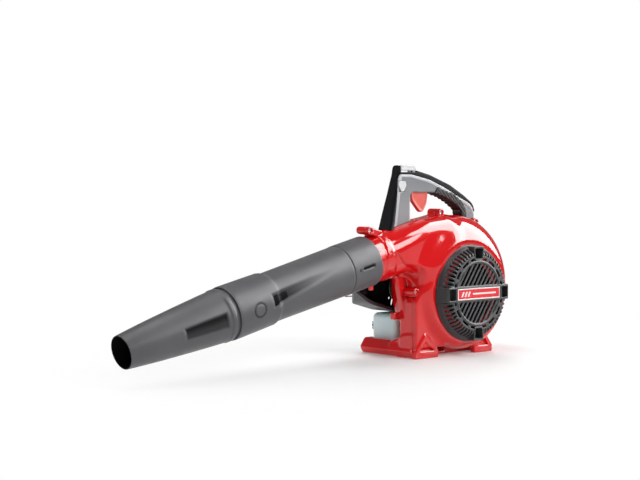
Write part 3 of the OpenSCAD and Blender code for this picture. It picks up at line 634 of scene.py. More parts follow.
def casing_openings(x, y, z):
    space = np.minimum(casing_skin(x, y, z, -WALL), neck(x, y, z, NECK_R - WALL, -40, 90))
    space = np.minimum(space, rod(x, z, y, (0, AXIS_Z), INLET_R, FRONT_Y - 9, FRONT_Y + 9, 0.5))
    space = np.minimum(space, rod(x, z, y, (0, AXIS_Z), 12, 0, BACK_Y + 9, 0.5))
    space = np.minimum(space, block(x, y, z, (-134, -43, 30), (-104, -2, 106), 3))
    for bx, bz, near, far in BOSSES:
        hole = rod(x, z, y, (bx, bz), 4.2, near - 3, near + 6, 0.4)
        space = np.minimum(space, np.minimum(hole, rod(x, z, y, (bx, bz), 2.1, near, far - 5, 0.3)))
    return space


def casing(x, y, z):
    return without(casing_outside(x, y, z), casing_openings(x, y, z), 0.8)


def seam(x, y, z):
    """Negative on the inlet side of the stepped parting seam."""
    return np.minimum(y - SEAM_LOW_Y, np.maximum(y - SEAM_HIGH_Y, SEAM_STEP_Z - z))


def inlet_housing(x, y, z):
    return common(casing(x, y, z), seam(x, y, z) + SEAM_GAP, 0.6)


def engine_side_housing(x, y, z):
    return common(casing(x, y, z), SEAM_GAP - seam(x, y, z), 0.6)


def build_casing():
    moulding("inlet_housing_shell", inlet_housing, "inlet_housing", (2, 2), 1.5, "root", "red_casing")
    moulding("engine_side_shell", engine_side_housing, "engine_side_housing", (2, 2), 1.8, "root",
             "red_casing")


# ---- inlet grille ----------------------------------------------------------------------------

GRILLE_Y = node_box("inlet_grille")[0][1]
BAR_HALF = 15.0
SLANT = math.radians(35)


def folded(value, pitch):
    """Distance from the nearest whole multiple of pitch."""
    return np.abs(value - np.round(value / pitch) * pitch)


def radial_slots(x, z, y, count, low_r, high_r, half_width, near, far, start=0.5):
    """Slots that point away from the impeller axis."""
    r = np.hypot(x, z - AXIS_Z)
    pitch = 2 * math.pi / count
    turn = np.arctan2(z - AXIS_Z, x) - start * pitch
    across = r * np.sin(folded(turn, pitch))
    return np.maximum(np.maximum(between(r, low_r, high_r), across - half_width), between(y, near, far))


def grille(x, y, z):
    r = np.hypot(x, z - AXIS_Z)
    side_x, rise = np.abs(x), np.abs(z - AXIS_Z)
    profile = [(98, FRONT_Y + 0.2), (98, -62.5), (95.6, -64), (95, -68), (91, -73), (83, -84.5),
               (79, GRILLE_Y), (66, GRILLE_Y), (65, GRILLE_Y - 0.9), (62, GRILLE_Y - 0.9),
               (61, GRILLE_Y + 0.6), (-9, GRILLE_Y + 0.6), (-9, -82), (78, -82), (87, -70), (92, -66),
               (92, FRONT_Y + 0.2)]
    shell = polygon(r, y, rounded(profile, 1.2, 2))
    slanted = x * math.cos(SLANT) - (z - AXIS_Z) * math.sin(SLANT)
    disc_slots = np.maximum(folded(slanted, 10.2) - 2.8, np.maximum(r - 60, BAR_HALF + 1.5 - rise))
    dashes = radial_slots(x, z, y, 16, 67, 72, 9, -95, -70)
    long_slots = radial_slots(x, z, y, 60, 76.5, 91, 2.3, -95, -69)
    cut = np.minimum(np.maximum(disc_slots, between(y, -95, -70)), np.minimum(dashes, long_slots))
    shell = without(shell, cut, 0.8)
    bar_side = [(-9, GRILLE_Y - 1.4), (87, GRILLE_Y - 1.4), (91, GRILLE_Y + 2), (96, -70),
                (99, FRONT_Y + 0.2), (78, FRONT_Y + 0.2), (78, -68), (62, -68), (62, GRILLE_Y + 3),
                (-9, GRILLE_Y + 3)]
    bar = prism(polygon(side_x, y, rounded(bar_side, 2)), z, AXIS_Z - BAR_HALF, AXIS_Z + BAR_HALF, 1.3)
    pocket = block(side_x, y, z, (67, -99, AXIS_Z - 11), (86, -73, AXIS_Z + 11), 2)
    shell = np.maximum(shell, -np.maximum(np.abs(z - AXIS_Z) - BAR_HALF + 1, 62 - side_x))
    bar = without(bar, pocket, 1)
    bar = without(bar, block(x, y, z, BADGE_LOW - (0.5, 9, 0.5), BADGE_HIGH + (0.5, 0, 0.5), 1), 0.5)
    wall = polygon(x, rise, rounded([(-12, 67), (12, 67), (15, 95), (-15, 95)], 3))
    wall = prism(wall, y, GRILLE_Y - 0.6, -62, 1)
    well = polygon(x, rise, rounded([(-9.5, 70), (9.5, 70), (12, 91), (-12, 91)], 3))
    well = prism(well, y, -99, -67, 1)
    shell = without(joined(shell, wall, 0.8), well, 0.8)
    return joined(shell, bar, 1)


def badge(x, y, z):
    """Plain plate with a raised border."""
    plate = block(x, y, z, BADGE_LOW - (0, 0.3, 0), BADGE_HIGH, 0.8)
    inner = block(x, y, z, BADGE_LOW + (2, -3, 2), BADGE_HIGH - (2, 1.6, 2), 0.5)
    return without(plate, inner, 0.3)


def badge_marks(x, y, z):
    """White paint of the badge: its border, three slanted bars and a plain line."""
    rise = z - AXIS_Z
    edge = np.maximum(np.abs(x) - 60, np.abs(rise) - 9.4)
    bars = np.abs(folded(x + 38 - rise * 0.5, 9)) - 2.2
    bars = np.maximum(bars, np.maximum(np.abs(x + 38) - 14, np.abs(rise) - 5))
    line = np.maximum(np.abs(x - 16) - 34, np.abs(rise) - 1.6)
    return np.clip(0.5 - np.minimum(np.minimum(bars, line), -edge) * 1.5, 0, 1)


def screw_head(x, y, z, centre, near, far, radius):
    """Round head with a six-lobed drive, on the -Y side of a screw."""
    head = rod(x, z, y, centre, radius, near, far, 0.8)
    turn = np.arctan2(z - centre[1], x - centre[0])
    lobes = np.hypot(x - centre[0], z - centre[1]) - radius * (0.46 + 0.08 * np.cos(6 * turn))
    return without(head, np.maximum(lobes, y - near - 1.6), 0.2)


def screw(centre, start, tip, head_len, head_r, shank_r, room):
    """Mesh of one screw along Y, with its head at start; room is the space in front of the head."""

    def field(x, y, z):
        head = screw_head(x, y, z, centre, start, start + head_len, head_r)
        return np.minimum(head, rod(x, z, y, centre, shank_r, start + 2, tip))

    low = (centre[0] - 5, start - room, centre[1] - 5)
    high = (centre[0] + 5, tip + 1, centre[1] + 5)
    return skin(field, low, high, 0.4)


def build_grille():
    moulding("grille_shell", grille, "inlet_grille", (2, 1), 0.85, "root", "grille_plastic")
    moulding("grille_badge_plate", badge, "grille_badge", (1, 1), 0.6, "root", "badge", badge_marks)
    low, high = node_box("grille_screws")
    pair = [screw((0, AXIS_Z + rise), low[1], high[1], 3.4, 4.2, 2, 1) for rise in (-80, 80)]
    piece("grille_screw_pair", joined_meshes(pair), "root", "steel", ["grille_screws"])
    housing = [screw((bx, bz), near + 2.5, far - 6, 3.5, 3.9, 1.9, 1.5) for bx, bz, near, far in BOSSES]
    piece("housing_screw_set", joined_meshes(housing), "root", "steel", ["housing_screws"])


# ---- air tube --------------------------------------------------------------------------------


def lathe(profile, start, dent, turns=200, stride=2.0):
    """Turns a closed (along, radius) profile about the tube axis; dent is the depth pressed in."""
    outline = []
    for a, b in zip(profile, profile[1:] + profile[:1]):
        a, b = np.array(a, float), np.array(b, float)
        parts = max(1, int(np.linalg.norm(b - a) / stride / COARSE))
        outline += [a + (b - a) * i / parts for i in range(parts)]
    outline = np.array(outline)
    outside = outline[:, 1] > np.interp(outline[:, 0], *zip(*sorted_middle(profile)))
    angle = np.linspace(0, 2 * math.pi, turns, endpoint=False)
    along = np.repeat(outline[:, :1], turns, 1) + start
    radius = np.repeat(outline[:, 1:], turns, 1)
    rise = radius * np.sin(angle)
    near = np.cos(angle)[None, :] > 0
    radius = radius - np.where(near & outside[:, None], dent(along, rise), 0)
    rise, side = radius * np.sin(angle), -radius * np.cos(angle)
    c, s = math.cos(SLOPE), math.sin(SLOPE)
    points = np.stack([COLLAR[0] - along * c - rise * s, side, COLLAR[2] - along * s + rise * c], axis=2)
    rows, count = len(outline), turns
    i, j = np.meshgrid(np.arange(rows), np.arange(count), indexing="ij")

    def corner(a, b):
        return (a % rows) * count + b % count

    quads = np.stack([corner(i, j), corner(i, j + 1), corner(i + 1, j + 1), corner(i + 1, j)], axis=2)
    return points.reshape(-1, 3), quads.reshape(-1, 4), np.repeat(~outside, turns)


def sorted_middle(profile):
    """Middle line between the outside and the inside of a thin profile."""
    knots = sorted({p[0] for p in profile})
    line = []
    for knot in knots:
        radii = []
        for a, b in zip(profile, profile[1:] + profile[:1]):
            if min(a[0], b[0]) <= knot <= max(a[0], b[0]):
                share = 0 if a[0] == b[0] else (knot - a[0]) / (b[0] - a[0])
                radii.append(a[1] + (b[1] - a[1]) * share)
        line.append((knot, (min(radii) + max(radii)) / 2))
    return line


def soft_inside(field, width):
    return np.clip(0.5 - field / width, 0, 1)


WEDGE = [(88, 23), (275, 15), (275, -9), (90, 20)]
PANEL = [(380, 13), (468, 10), (468, -9), (380, -13)]


def lock_slot(along, rise):
    return np.maximum(between(along, 20, 50), np.abs(rise) - 2.8)


def ring_mark(along, rise):
    return np.abs(np.hypot(along - 309, rise + 3) - 12.5) - 1.8


def tube_dent(along, rise):
    """Sunk wedge along the near side, the lock slot and the ring mark near the front."""
    depth = 3.2 * np.clip((along - 90) / 185, 0, 1)
    wedge = soft_inside(polygon(along, rise, WEDGE), 7) * depth
    slot = soft_inside(lock_slot(along, rise), 1.5) * 2.2
    return wedge + slot + soft_inside(ring_mark(along, rise), 1.5) * 0.5


def nozzle_dent(along, rise):
    return soft_inside(polygon(along, rise, PANEL), 5) * 1.6


def tube_shade(along, rise):
    dark = soft_inside(polygon(along, rise, WEDGE), 9) * np.clip((along - 120) / 120, 0, 1) * 0.8
    return np.maximum(np.maximum(dark, soft_inside(lock_slot(along, rise), 1.5)),
                      soft_inside(ring_mark(along, rise), 1.5) * 0.7)


def nozzle_shade(along, rise):
    return soft_inside(polygon(along, rise, PANEL), 4) * (0.65 + 0.3 * np.clip((rise + 4) / 10, 0, 1))


def turned_piece(name, profile, start, dent, shade, nodes):
    points, quads, inside = lathe(profile, start, dent)

    def shades(x, y, z):
        along, rise = along_tube(x, z)
        return np.where(inside, 1.0, np.where(y < 0, shade(along, rise), 0.0))

    piece(name, (points, quads), "root", "tube_plastic", nodes, 40, shades)


def build_tube():
    tube = [(0, 46.6), (0, 49.6), (1, 50), (71, 50), (72, 49.4), (72.6, 48.6), (74, 48.6), (75, 49.2),
            (90, 49), (170, 47.8), (250, 46.8), (255, 47.1), (260, 49.4), (263, 50), (300, 50.3),
            (351, 50.6), (353.5, 50.2), (354, 49), (354, 48.1), (264, 47.8), (254, 44.2), (86, 46),
            (74, 46)]
    turned_piece("upper_tube_shell", tube, 0, tube_dent, tube_shade, ["upper_tube"])
    spout = [(-60, 45.2), (-60, 47.4), (-1, 47.4), (0, 46.6), (7, 46.6), (7.2, 48.9), (8, 49.4),
             (15, 49.4), (16.5, 48.9), (18, 48.1), (44, 46.4), (70, 44.4), (95, 42.5), (120, 40.4),
             (148, 38), (175, 35.4), (200, 32.8), (221, 30.4), (222.6, 30), (223, 29.2), (222.6, 28),
             (198, 27.9), (172, 32.8), (118, 37.8), (68, 41.8), (9, 45.2)]
    turned_piece("nozzle_spout", spout, TUBE_LEN, nozzle_dent, nozzle_shade, ["nozzle"])
    low, high = node_box("tube_lock_screw")
    centre = ((low[0] + high[0]) / 2, (low[2] + high[2]) / 2)
    lock = skin(lambda x, y, z: screw_head(x, y, z, centre, low[1], high[1], 2.9), low - 1, high + 1, 0.3)
    piece("tube_lock", lock, "root", "black_plastic", ["tube_lock_screw"])


# ---- handle ----------------------------------------------------------------------------------

HANDLE_HALF = -HANDLE_LOW[1]
HALF_GAP = 0.15


def clear_of_casing(field, x, y, z, room=0.4):
    """The field with room left for the casing, the neck and the screw bosses."""
    taken = np.minimum(casing_skin(x, y, z, room), neck(x, y, z, NECK_R + room))
    return without(field, np.minimum(taken, bosses(x, y, z) - room), 0.5)


def arch(x, y, z, half, grow=0.0, edge=3.0):
    return prism(polygon(x, z, rounded(ARCH, 8)) - grow, y, -half, half, edge)


def front_line(z):
    """X of the handle's front edge at height z."""
    return -168.5 + (z - 262) * 0.147


def side_panel(x, z):
    """The darker field on the handle's side, inside its bright front and upper edge."""
    return np.maximum(polygon(x + 4, z + 6, rounded(ARCH, 8)), front_line(z) + 10 - x)


def handle_shade(x, y, z):
    return soft_inside(side_panel(x, z), 1.5) * (0.75 + 0.25 * np.clip((z - 290) / 60, 0, 1))


def handle(x, y, z):
    body = arch(x, y, z, HANDLE_HALF)
    body = without(body, np.maximum(side_panel(x, z), HANDLE_HALF - 0.9 - np.abs(y)), 0.8)
    ears = prism(np.abs(np.abs(y) - LEVER_EAR_Y) - 1.5, z, 362, 378.5, 0.6)
    body = joined(body, np.maximum(ears, np.abs(x - LEVER_PIN[0]) - 3.5), 0.5)
    space = block(x, y, z, (-119, -6.1, 300), (-55, 6.1, 353), 1)
    space = np.minimum(space, rod(x, z, y, PIVOT, 2, -9.5, 9.5, 0.2))
    space = np.minimum(space, rod(x, z, y, LEVER_PIN, 1.5, -9, 9))
    space = np.minimum(space, block(x, y, z, (-153.5, -99, 330), (-137.5, -7.6, 352), 0.8))
    return clear_of_casing(without(body, space, 0.6), x, y, z)


def trim(x, y, z):
    """Black front post, which widens downwards, and the black strip over the top."""
    share = (z - 250) / 134
    front = -185.5 + 36.5 * share
    half = 20 - 9 * share
    ridges = 0.3 * np.cos(y * 1.5)
    post = common(np.abs(y) - half, front + ridges - x, 9)
    post = common(post, (np.abs(y) - half + (x - front - 7.5) * 0.6) * 0.85, 3)
    post = common(post, np.maximum(249 - z, z - 384), 4)
    post = np.maximum(post, x + 140)
    strip = prism(polygon(x, z, rounded(STRIP, 6)), y, -11, 11, 2)
    both = without(joined(post, strip, 2), arch(x, y, z, 40, 0.15, 0.1), 0.3)
    space = block(x, y, z, (-147, -40, 370), (-101.5, 40, 400), 0.8)
    ears = np.maximum(np.abs(np.abs(y) - LEVER_EAR_Y) - 1.8, np.abs(x - LEVER_PIN[0]) - 4.3)
    return clear_of_casing(without(both, np.minimum(space, ears), 0.5), x, y, z)


def grip(x, y, z):
    """Soft grip wrapped round the rear of the arch, with finger bumps along its upper edge."""
    outline = polygon(x, z, rounded(GRIP, 4)) + 0.7 * np.sin((x - z) * 0.42)
    shape = prism(outline, y, -HANDLE_HALF - 1.6, HANDLE_HALF + 1.6, 2.6)
    screw_room = rod(x, z, y, (-30, 331.5), 5, 0, 40)
    shape = without(shape, np.minimum(arch(x, y, z, HANDLE_HALF, 0.05), screw_room), 0.2)
    return clear_of_casing(shape, x, y, z)


def trigger(x, y, z):
    outline = polygon(x, z, rounded(TRIGGER, 6))
    blade = prism(outline, y, -5, 5, 1.6)
    blade = without(blade, np.maximum(outline + 4, 4.2 - np.abs(y)), 0.6)
    return without(blade, rod(x, z, y, PIVOT, 2.1, -9, 9), 0.2)


# Painted light: the trigger's flat sides get a lighter salmon colour for the light falling on them; the
# front stays deep red.
def trigger_painted_light(x, y, z):
    return np.clip((np.abs(y) - 3.4) / 1.2, 0, 1)


def lever(x, y, z):
    outline = [(-146, 372.5), (-146, 381), (-142, 384), (-110, 384), (-104, 378), (-103.5, 373)]
    body = prism(polygon(x, z, rounded(outline, 3)), y, LEVER_LOW[1], LEVER_HIGH[1], 2.2)
    notch = np.maximum(np.abs(np.abs(y) - LEVER_EAR_Y) - 2.2, np.maximum(LEVER_PIN[0] - 6 - x, z - 381))
    return without(without(body, notch, 0.3), rod(x, z, y, LEVER_PIN, 1.6, -5, 5), 0.2)


def switch(x, y, z):
    """Stop switch: a tab on the near face, with a stem in its slot."""
    outline = [(-154.5, 352), (-136.5, 352), (-134.5, 344), (-142, 331), (-148.5, 331), (-156.5, 343)]
    tab = prism(polygon(x, z, rounded(outline, 3)), y, SWITCH_LOW[1], SWITCH_LOW[1] + 2.7, 1.2)
    return joined(tab, block(x, y, z, SWITCH_LOW + (0.5, 1, 0.3), SWITCH_HIGH - (0.5, 0, 0.3), 0.5), 0.3)


def left_half(x, y, z):
    return common(handle(x, y, z), y + HALF_GAP, 0.4)


def right_half(x, y, z):
    return common(handle(x, y, z), HALF_GAP - y, 0.4)


def build_handle():
    low, high = HANDLE_LOW - 2, HANDLE_HIGH + (2, HANDLE_HALF + 2, 2)
    left = skin(left_half, low, high * (1, 0, 1) + (0, 2, 0), 1.0)
    piece("handle_left_half", left, "root", "grey_plastic", ["handle_left"], shade=handle_shade)
    right = skin(right_half, low * (1, 0, 1) - (0, 2, 0), high, 1.0)
    piece("handle_right_half", right, "root", "grey_plastic", ["handle_right"], shade=handle_shade)
    moulding("handle_black_trim", trim, "handle_trim", (2, 2), 1.1, "root", "black_plastic")
    moulding("handle_soft_grip", grip, "handle_grip", (2, 2), 0.8, "root", "grip_rubber")
    moulding("trigger_blade", trigger, "throttle_trigger", (1, 1), 0.6, "trigger", "trigger_plastic",
             trigger_painted_light)
    pin = skin(lambda x, y, z: rod(x, z, y, PIVOT, 1.95, -9.4, 9.4, 0.4), (PIVOT[0] - 3, -10, PIVOT[1] - 3),
               (PIVOT[0] + 3, 10, PIVOT[1] + 3), 0.4)
    piece("trigger_pivot", pin, "root", "steel", ["trigger_pin"])
    moulding("cruise_thumb_lever", lever, "cruise_lever", (1, 1), 0.6, "cruise", "switch_plastic")
    piece("stop_switch_tab", skin(switch, SWITCH_LOW - (5, 1, 8), SWITCH_HIGH + (5, 1, 2), 0.5), "switch",
          "switch_plastic", ["stop_switch"])


# ---- engine side -----------------------------------------------------------------------------

COVER_WALL = 2.5


def slanted_wall(x, y):
    """Negative behind the cover's slanted front wall, which runs from the near rim inwards."""
    return (COVER[0][0] - x) * math.cos(COVER_SLANT) + (y - COVER_LOW[1]) * math.sin(COVER_SLANT)


def cover_form(x, y, z, inset):
    outline = polygon(x, z, rounded(COVER, 14)) + inset
    form = prism(outline, y, COVER_LOW[1] - 15, COVER_HIGH[1] - inset, 7 - inset)
    return common(form, slanted_wall(x, y) + inset, 3)


def engine_cover(x, y, z):
    """Moulded cover, open towards the fan casing, with a rim, ribs, vents and openings."""
    outline = polygon(x, z, rounded(COVER, 14))
    body = np.maximum(without(cover_form(x, y, z, 0), cover_form(x, y, z, COVER_WALL), 1), COVER_LOW[1] - y)
    rim = np.maximum(np.abs(outline + 3.2) - 3.2, between(y, COVER_LOW[1], COVER_LOW[1] + 3))
    body = joined(body, np.maximum(rim, slanted_wall(x, y)), 1)
    ribs = np.maximum(folded(z - 92, 12) - 1, between(y, COVER_HIGH[1] - 1, COVER_HIGH[1] + 1.2))
    ribs = np.maximum(ribs, np.maximum(outline + 9, np.maximum(x + 66, 72 - disc_r(x, z))))
    body = joined(body, ribs, 1)
    space = rod(x, z, y, (0, AXIS_Z), STARTER_R - 3, COVER_HIGH[1] - 20, COVER_HIGH[1] + 9)
    rear_vents = np.maximum(folded(y - 58, 8) - 2, np.maximum(between(y, 56, 102), between(z, 222, 248)))
    space = np.minimum(space, np.maximum(rear_vents, 76 - x))
    side_vents = np.maximum(folded(z - 198, 9) - 2, np.maximum(between(z, 194, 240), between(x, 56, 90)))
    space = np.minimum(space, np.maximum(side_vents, COVER_HIGH[1] - 6 - y))
    space = np.minimum(space, rod(x, y, z, (-60, CRANK_Y + 10), 5, 70, 100))
    space = np.minimum(space, rod(x, z, y, (70, AXIS_Z + 42), 9, COVER_HIGH[1] - 27, COVER_HIGH[1] + 9))
    space = np.minimum(space, rod(y, z, x, (CRANK_Y + 11, AXIS_Z + 56), 3.6, -165, -105))
    return without(body, space, 0.8)


def disc_r(x, z):
    return np.hypot(x, z - AXIS_Z)


def starter(x, y, z):
    """Domed recoil starter cover with louvres and three screw ears."""
    near, far = STARTER_LOW[1], STARTER_HIGH[1]
    r = disc_r(x, z)
    profile = [(-9, far), (20, far), (48, far - 3), (58, far - 13), (58, near), (55, near), (55, far - 14),
               (46, far - 6), (20, far - 3), (-9, far - 3)]
    dome = polygon(r, y, rounded(profile, 5))
    louvres = radial_slots(x, z, y, 18, 27, 45, 2.4, far - 12, far + 3)
    dome = without(dome, louvres, 0.8)
    dome = joined(dome, rod(x, z, y, (0, AXIS_Z), 17, far - 3, far + 1.2), 2)
    for degrees in (60, 180, 300):
        turn = math.radians(degrees)
        centre = (63 * math.cos(turn), AXIS_Z + 63 * math.sin(turn))
        clear = np.minimum(r - 57, disc(x, z, centre, 2))
        ear = without(rod(x, z, y, centre, 7, near, near + 6.8), clear, 0.5)
        dome = joined(dome, ear, 1.5)
    post = rod(x, z, y, (0, AXIS_Z), 5, far - 24, far - 2)
    guide = disc(x, y, (ROPE_LOW[0] + ROPE_RADIUS, middle("starter_rope")[1]), 4)
    return np.minimum(without(dome, np.maximum(guide, AXIS_Z + 30 - z), 0.8), post)


ROPE_RADIUS = (ROPE_HIGH[0] - ROPE_LOW[0]) / 2


def pull(x, y, z):
    """T-shaped pull grip with shallow finger hollows."""
    cx, cy, _ = middle("pull_handle")
    top = PULL_HIGH[2] - 8
    side = np.maximum(np.abs(x - cx) - 24, 0)
    bar = np.sqrt(side ** 2 + (y - cy) ** 2 + (z - top) ** 2) - 7.6 - 0.5 * np.cos((x - cx) * 0.45)
    stem = rod(x, y, z, (cx, cy), 7, PULL_LOW[2], top, 1.5)
    bore = rod(x, y, z, (cx, cy), ROPE_RADIUS + 0.2, PULL_LOW[2] - 5, ROPE_HIGH[2] + 2)
    return without(joined(bar, stem, 5), bore, 0.5)


def tank(x, y, z):
    low, high = TANK_LOW, TANK_HIGH - (0, 8, 0)
    outer = block(x, y, z, low, high, 11)
    outer = joined(outer, block(x, y, z, low + (1, 36, 1), high - (1, 34, 1), 5) - 1.2, 1.5)
    centre = (middle("fuel_cap")[0], middle("fuel_cap")[2])
    outer = joined(outer, rod(x, z, y, centre, 13, high[1] - 8, TANK_HIGH[1], 0.8), 2)
    inner = block(x, y, z, low + 2, high - 2, 9)
    return without(outer, np.minimum(inner, rod(x, z, y, centre, 11, high[1] - 14, high[1] + 20)), 0.5)


def cap(x, y, z):
    """Fuel cap: grip ribs, a raised ring and a sunk middle."""
    cx, cz = middle("fuel_cap")[0], middle("fuel_cap")[2]
    r, turn = np.hypot(x - cx, z - cz), np.arctan2(z - cz, x - cx)
    near, far = CAP_LOW[1], CAP_HIGH[1]
    knob = prism(r - 19.4 - 0.9 * np.cos(18 * turn), y, near + 10, far, 2)
    skirt = prism(r - 18.4, y, near, near + 11, 1)
    bore = prism(r - 14, y, near - 5, near + 9, 0.3)
    sunk = prism(r - 12, y, far - 1.5, far + 5, 1)
    bar = block(x, y, z, (cx - 11, far - 3, cz - 2.5), (cx + 11, far, cz + 2.5), 1)
    return joined(without(joined(knob, skirt, 1.5), np.minimum(bore, sunk), 1), bar, 1)


def bulb(x, y, z):
    low, high = node_box("primer_bulb")
    cx, cy, _ = (low + high) / 2
    r = np.hypot(x - cx, y - cy)
    dome = np.hypot(r, z - low[2] - 1.8) - 9.4
    return np.maximum(dome + 0.5 * np.exp(-(r / 3) ** 2), low[2] - z)


def primer_seat(x, y, z):
    low, high = node_box("primer_base")
    cx, cy, _ = (low + high) / 2
    seat = rod(x, y, z, (cx, cy), 12.5, low[2], high[2], 1.2)
    return without(seat, rod(x, y, z, (cx, cy), 9.7, low[2] + 3, high[2] + 5, 0.3), 0.4)


def rope_mesh():
    """Two-strand cord from inside the starter to the pull grip."""
    cx, cy, _ = middle("starter_rope")
    rings, sides = 120, 20
    t = np.linspace(0, 1, rings)[:, None]
    angle = np.linspace(0, 2 * math.pi, sides, endpoint=False)[None, :]
    radius = ROPE_RADIUS * (0.9 + 0.1 * np.abs(np.cos(angle - t * 60)))
    height = ROPE_LOW[2] + (ROPE_HIGH[2] - ROPE_LOW[2]) * t
    points = np.stack([cx + radius * np.cos(angle), cy + radius * np.sin(angle), height + 0 * angle], axis=2)
    i, j = np.meshgrid(np.arange(rings - 1), np.arange(sides), indexing="ij")
    after = (j + 1) % sides
    this, above = i * sides, (i + 1) * sides
    quads = np.stack([this + j, this + after, above + after, above + j], axis=2)
    return points.reshape(-1, 3), quads.reshape(-1, 4)


def build_engine_side():
    moulding("engine_cover_shell", engine_cover, "engine_cover", (2, 3), 1.3, "root", "cover_plastic")
    moulding("starter_dome", starter, "starter_housing", (2, 3), 1.1, "root", "black_plastic")
    moulding("pull_grip", pull, "pull_handle", (2, 2), 0.8, "pull", "black_plastic")
    rope = piece("pull_cord", rope_mesh(), None, "rope", ["starter_rope"])
    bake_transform(rope)
    moulding("tank_body", tank, "fuel_tank", (3, 3), 1.3, "root", "tank_plastic")
    moulding("tank_cap", cap, "fuel_cap", (2, 2), 0.7, "cap", "black_plastic")
    moulding("primer_dome", bulb, "primer_bulb", (1, 1), 0.5, "primer", "rubber")
    moulding("primer_seat_ring", primer_seat, "primer_base", (1, 1), 0.5, "root", "black_plastic")


# ---- stage, lights and camera ----------------------------------------------------------------


def build_stage():
    """A pale floor that fades to plain white away from the blower."""
    size = 6.0
    mesh = bpy.data.meshes.new("floor")
    corners = [(-size, -size, 0), (size, -size, 0), (size, size, 0), (-size, size, 0)]
    mesh.from_pydata(corners, [], [(0, 1, 2, 3)])
    floor = bpy.data.objects.new("floor", mesh)
    bpy.context.scene.collection.objects.link(floor)
    f = Finish("floor_paint")
    base = f.mix(f.ramp(f.noise(3), 0, 1), (0.86, 0.86, 0.86), (0.9, 0.9, 0.9))
    f.link(base, f.surface.inputs["Base Color"])
    f.set(Roughness=0.7)
    glow = f.add("ShaderNodeEmission")
    away = f.add("ShaderNodeVectorMath", operation="LENGTH")
    f.link(f.place, away.inputs[0])
    blend = f.add("ShaderNodeMixShader")
    f.link(f.ramp(away.outputs["Value"], FLOOR_GLOW, 1, 0.25, 0.85), blend.inputs["Fac"])
    f.link(f.surface.outputs["BSDF"], blend.inputs[1])
    f.link(glow.outputs["Emission"], blend.inputs[2])
    f.link(blend.outputs["Shader"], f.tree.nodes["Material Output"].inputs["Surface"])
    mesh.materials.append(f.material)
    floor.location.z = -0.0005


def area_light(name, place, target, size, power, mirrored=True):
    data = bpy.data.lights.new(name, "AREA")
    data.shape = "RECTANGLE"
    data.size, data.size_y = size
    data.energy = power
    lamp = bpy.data.objects.new(name, data)
    bpy.context.scene.collection.objects.link(lamp)
    lamp.location = place
    lamp.rotation_mode = "QUATERNION"
    lamp.rotation_quaternion = (Vector(target) - Vector(place)).to_track_quat("-Z", "Y")
    lamp.visible_camera = False
    lamp.visible_glossy = mirrored


def direction(azimuth, elevation):
    """Unit vector; azimuth turns from +Y towards +X, in degrees."""
    a, e = math.radians(azimuth), math.radians(elevation)
    return Vector((math.sin(a) * math.cos(e), math.cos(a) * math.cos(e), math.sin(e)))


def maths(tree, operation, first, second):
    node = tree.nodes.new("ShaderNodeMath")
    node.operation = operation
    for socket, value in zip(node.inputs, (first, second)):
        if isinstance(value, float):
            socket.default_value = value
        else:
            tree.links.new(value, socket)
    return node.outputs[0]


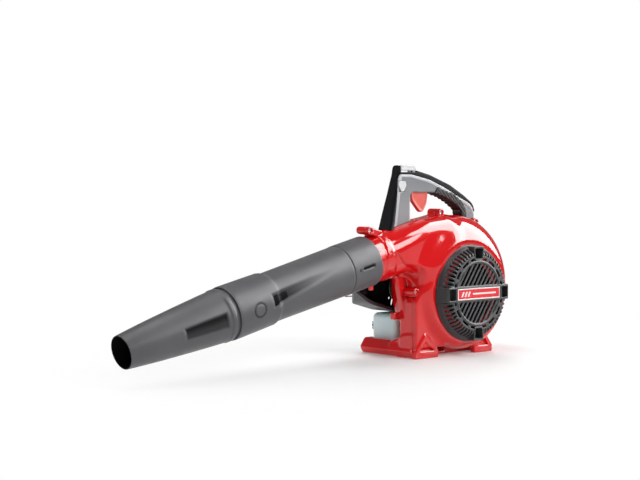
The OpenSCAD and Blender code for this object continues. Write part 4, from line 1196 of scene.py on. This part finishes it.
def studio_window(tree, azimuth, elevation, half_width, half_height):
    """Share of a bright rectangle, seen from the blower in the given direction, in degrees."""

    def along(axis):
        node = tree.nodes.new("ShaderNodeVectorMath")
        node.operation = "DOT_PRODUCT"
        tree.links.new(ray_way, node.inputs[0])
        node.inputs[1].default_value = axis
        return node.outputs["Value"]

    ray_way = tree.nodes.new("ShaderNodeTexCoord").outputs["Generated"]
    centre = direction(azimuth, elevation)
    right = Vector((centre.y, -centre.x, 0)).normalized()
    ahead = along(centre)
    share = maths(tree, "GREATER_THAN", ahead, 0.05)
    for axis, half in ((right, half_width), (right.cross(centre), half_height)):
        off = maths(tree, "ABSOLUTE", along(axis), 0.0)
        off = maths(tree, "DIVIDE", off, maths(tree, "MAXIMUM", ahead, 0.05))
        inside = maths(tree, "LESS_THAN", off, math.tan(math.radians(half)))
        share = maths(tree, "MULTIPLY", share, inside)
    return share


def build_lights():
    """Plain white for the camera, a dim room for the rest, a window in reflections, and soft boxes."""
    world = bpy.data.worlds.new("studio")
    bpy.context.scene.world = world
    world.use_nodes = True
    tree = world.node_tree
    ray = tree.nodes.new("ShaderNodeLightPath")
    share = studio_window(tree, azimuth=120, elevation=32, half_width=20, half_height=27)
    mirrored = maths(tree, "MULTIPLY", share, ray.outputs["Is Glossy Ray"])
    glare = maths(tree, "MULTIPLY", mirrored, WINDOW_GLARE)
    room = maths(tree, "ADD", glare, ROOM_LIGHT)
    seen = maths(tree, "MAXIMUM", room, ray.outputs["Is Camera Ray"])
    background = tree.nodes["Background"]
    background.inputs["Color"].default_value = (1, 1, 1, 1)
    tree.links.new(seen, background.inputs["Strength"])
    target = (-0.05, 0, 0.15)
    area_light("key_softbox", (0.5, -1.9, 1.3), target, (1.0, 0.9), 30)
    area_light("back_softbox", (1.3, 1.3, 1.5), target, (1.1, 1.0), 34, False)
    area_light("top_softbox", (-0.6, 0.1, 1.9), target, (1.6, 0.6), 18)
    area_light("left_softbox", (-2.0, 0.9, 0.9), target, (0.7, 1.2), 10)


def build_camera():
    data = bpy.data.cameras.new("camera")
    data.sensor_width = 36.0
    data.lens = 77.4
    data.clip_end = 50
    camera = bpy.data.objects.new("camera", data)
    bpy.context.scene.collection.objects.link(camera)
    camera.location = (-2.0589, -1.9607, 0.3410)
    camera.rotation_euler = (math.radians(90 - 2.22), 0, math.radians(-41.08))
    bpy.context.scene.camera = camera
    bpy.context.scene.view_settings.view_transform = "Standard"


def dress_cad_nodes():
    """Gives every CAD node that stays in view the finish of its material slot."""
    slots = {part["node"]: part["material_slot"] for part in frame["record"]["subparts"]}
    for node, obj in frame["nodes"].items():
        obj.data.materials.clear()
        obj.data.materials.append(finishes[slots[node]])


dress_cad_nodes()
build_casing()
build_grille()
build_tube()
build_handle()
build_engine_side()
build_stage()
build_lights()
build_camera()
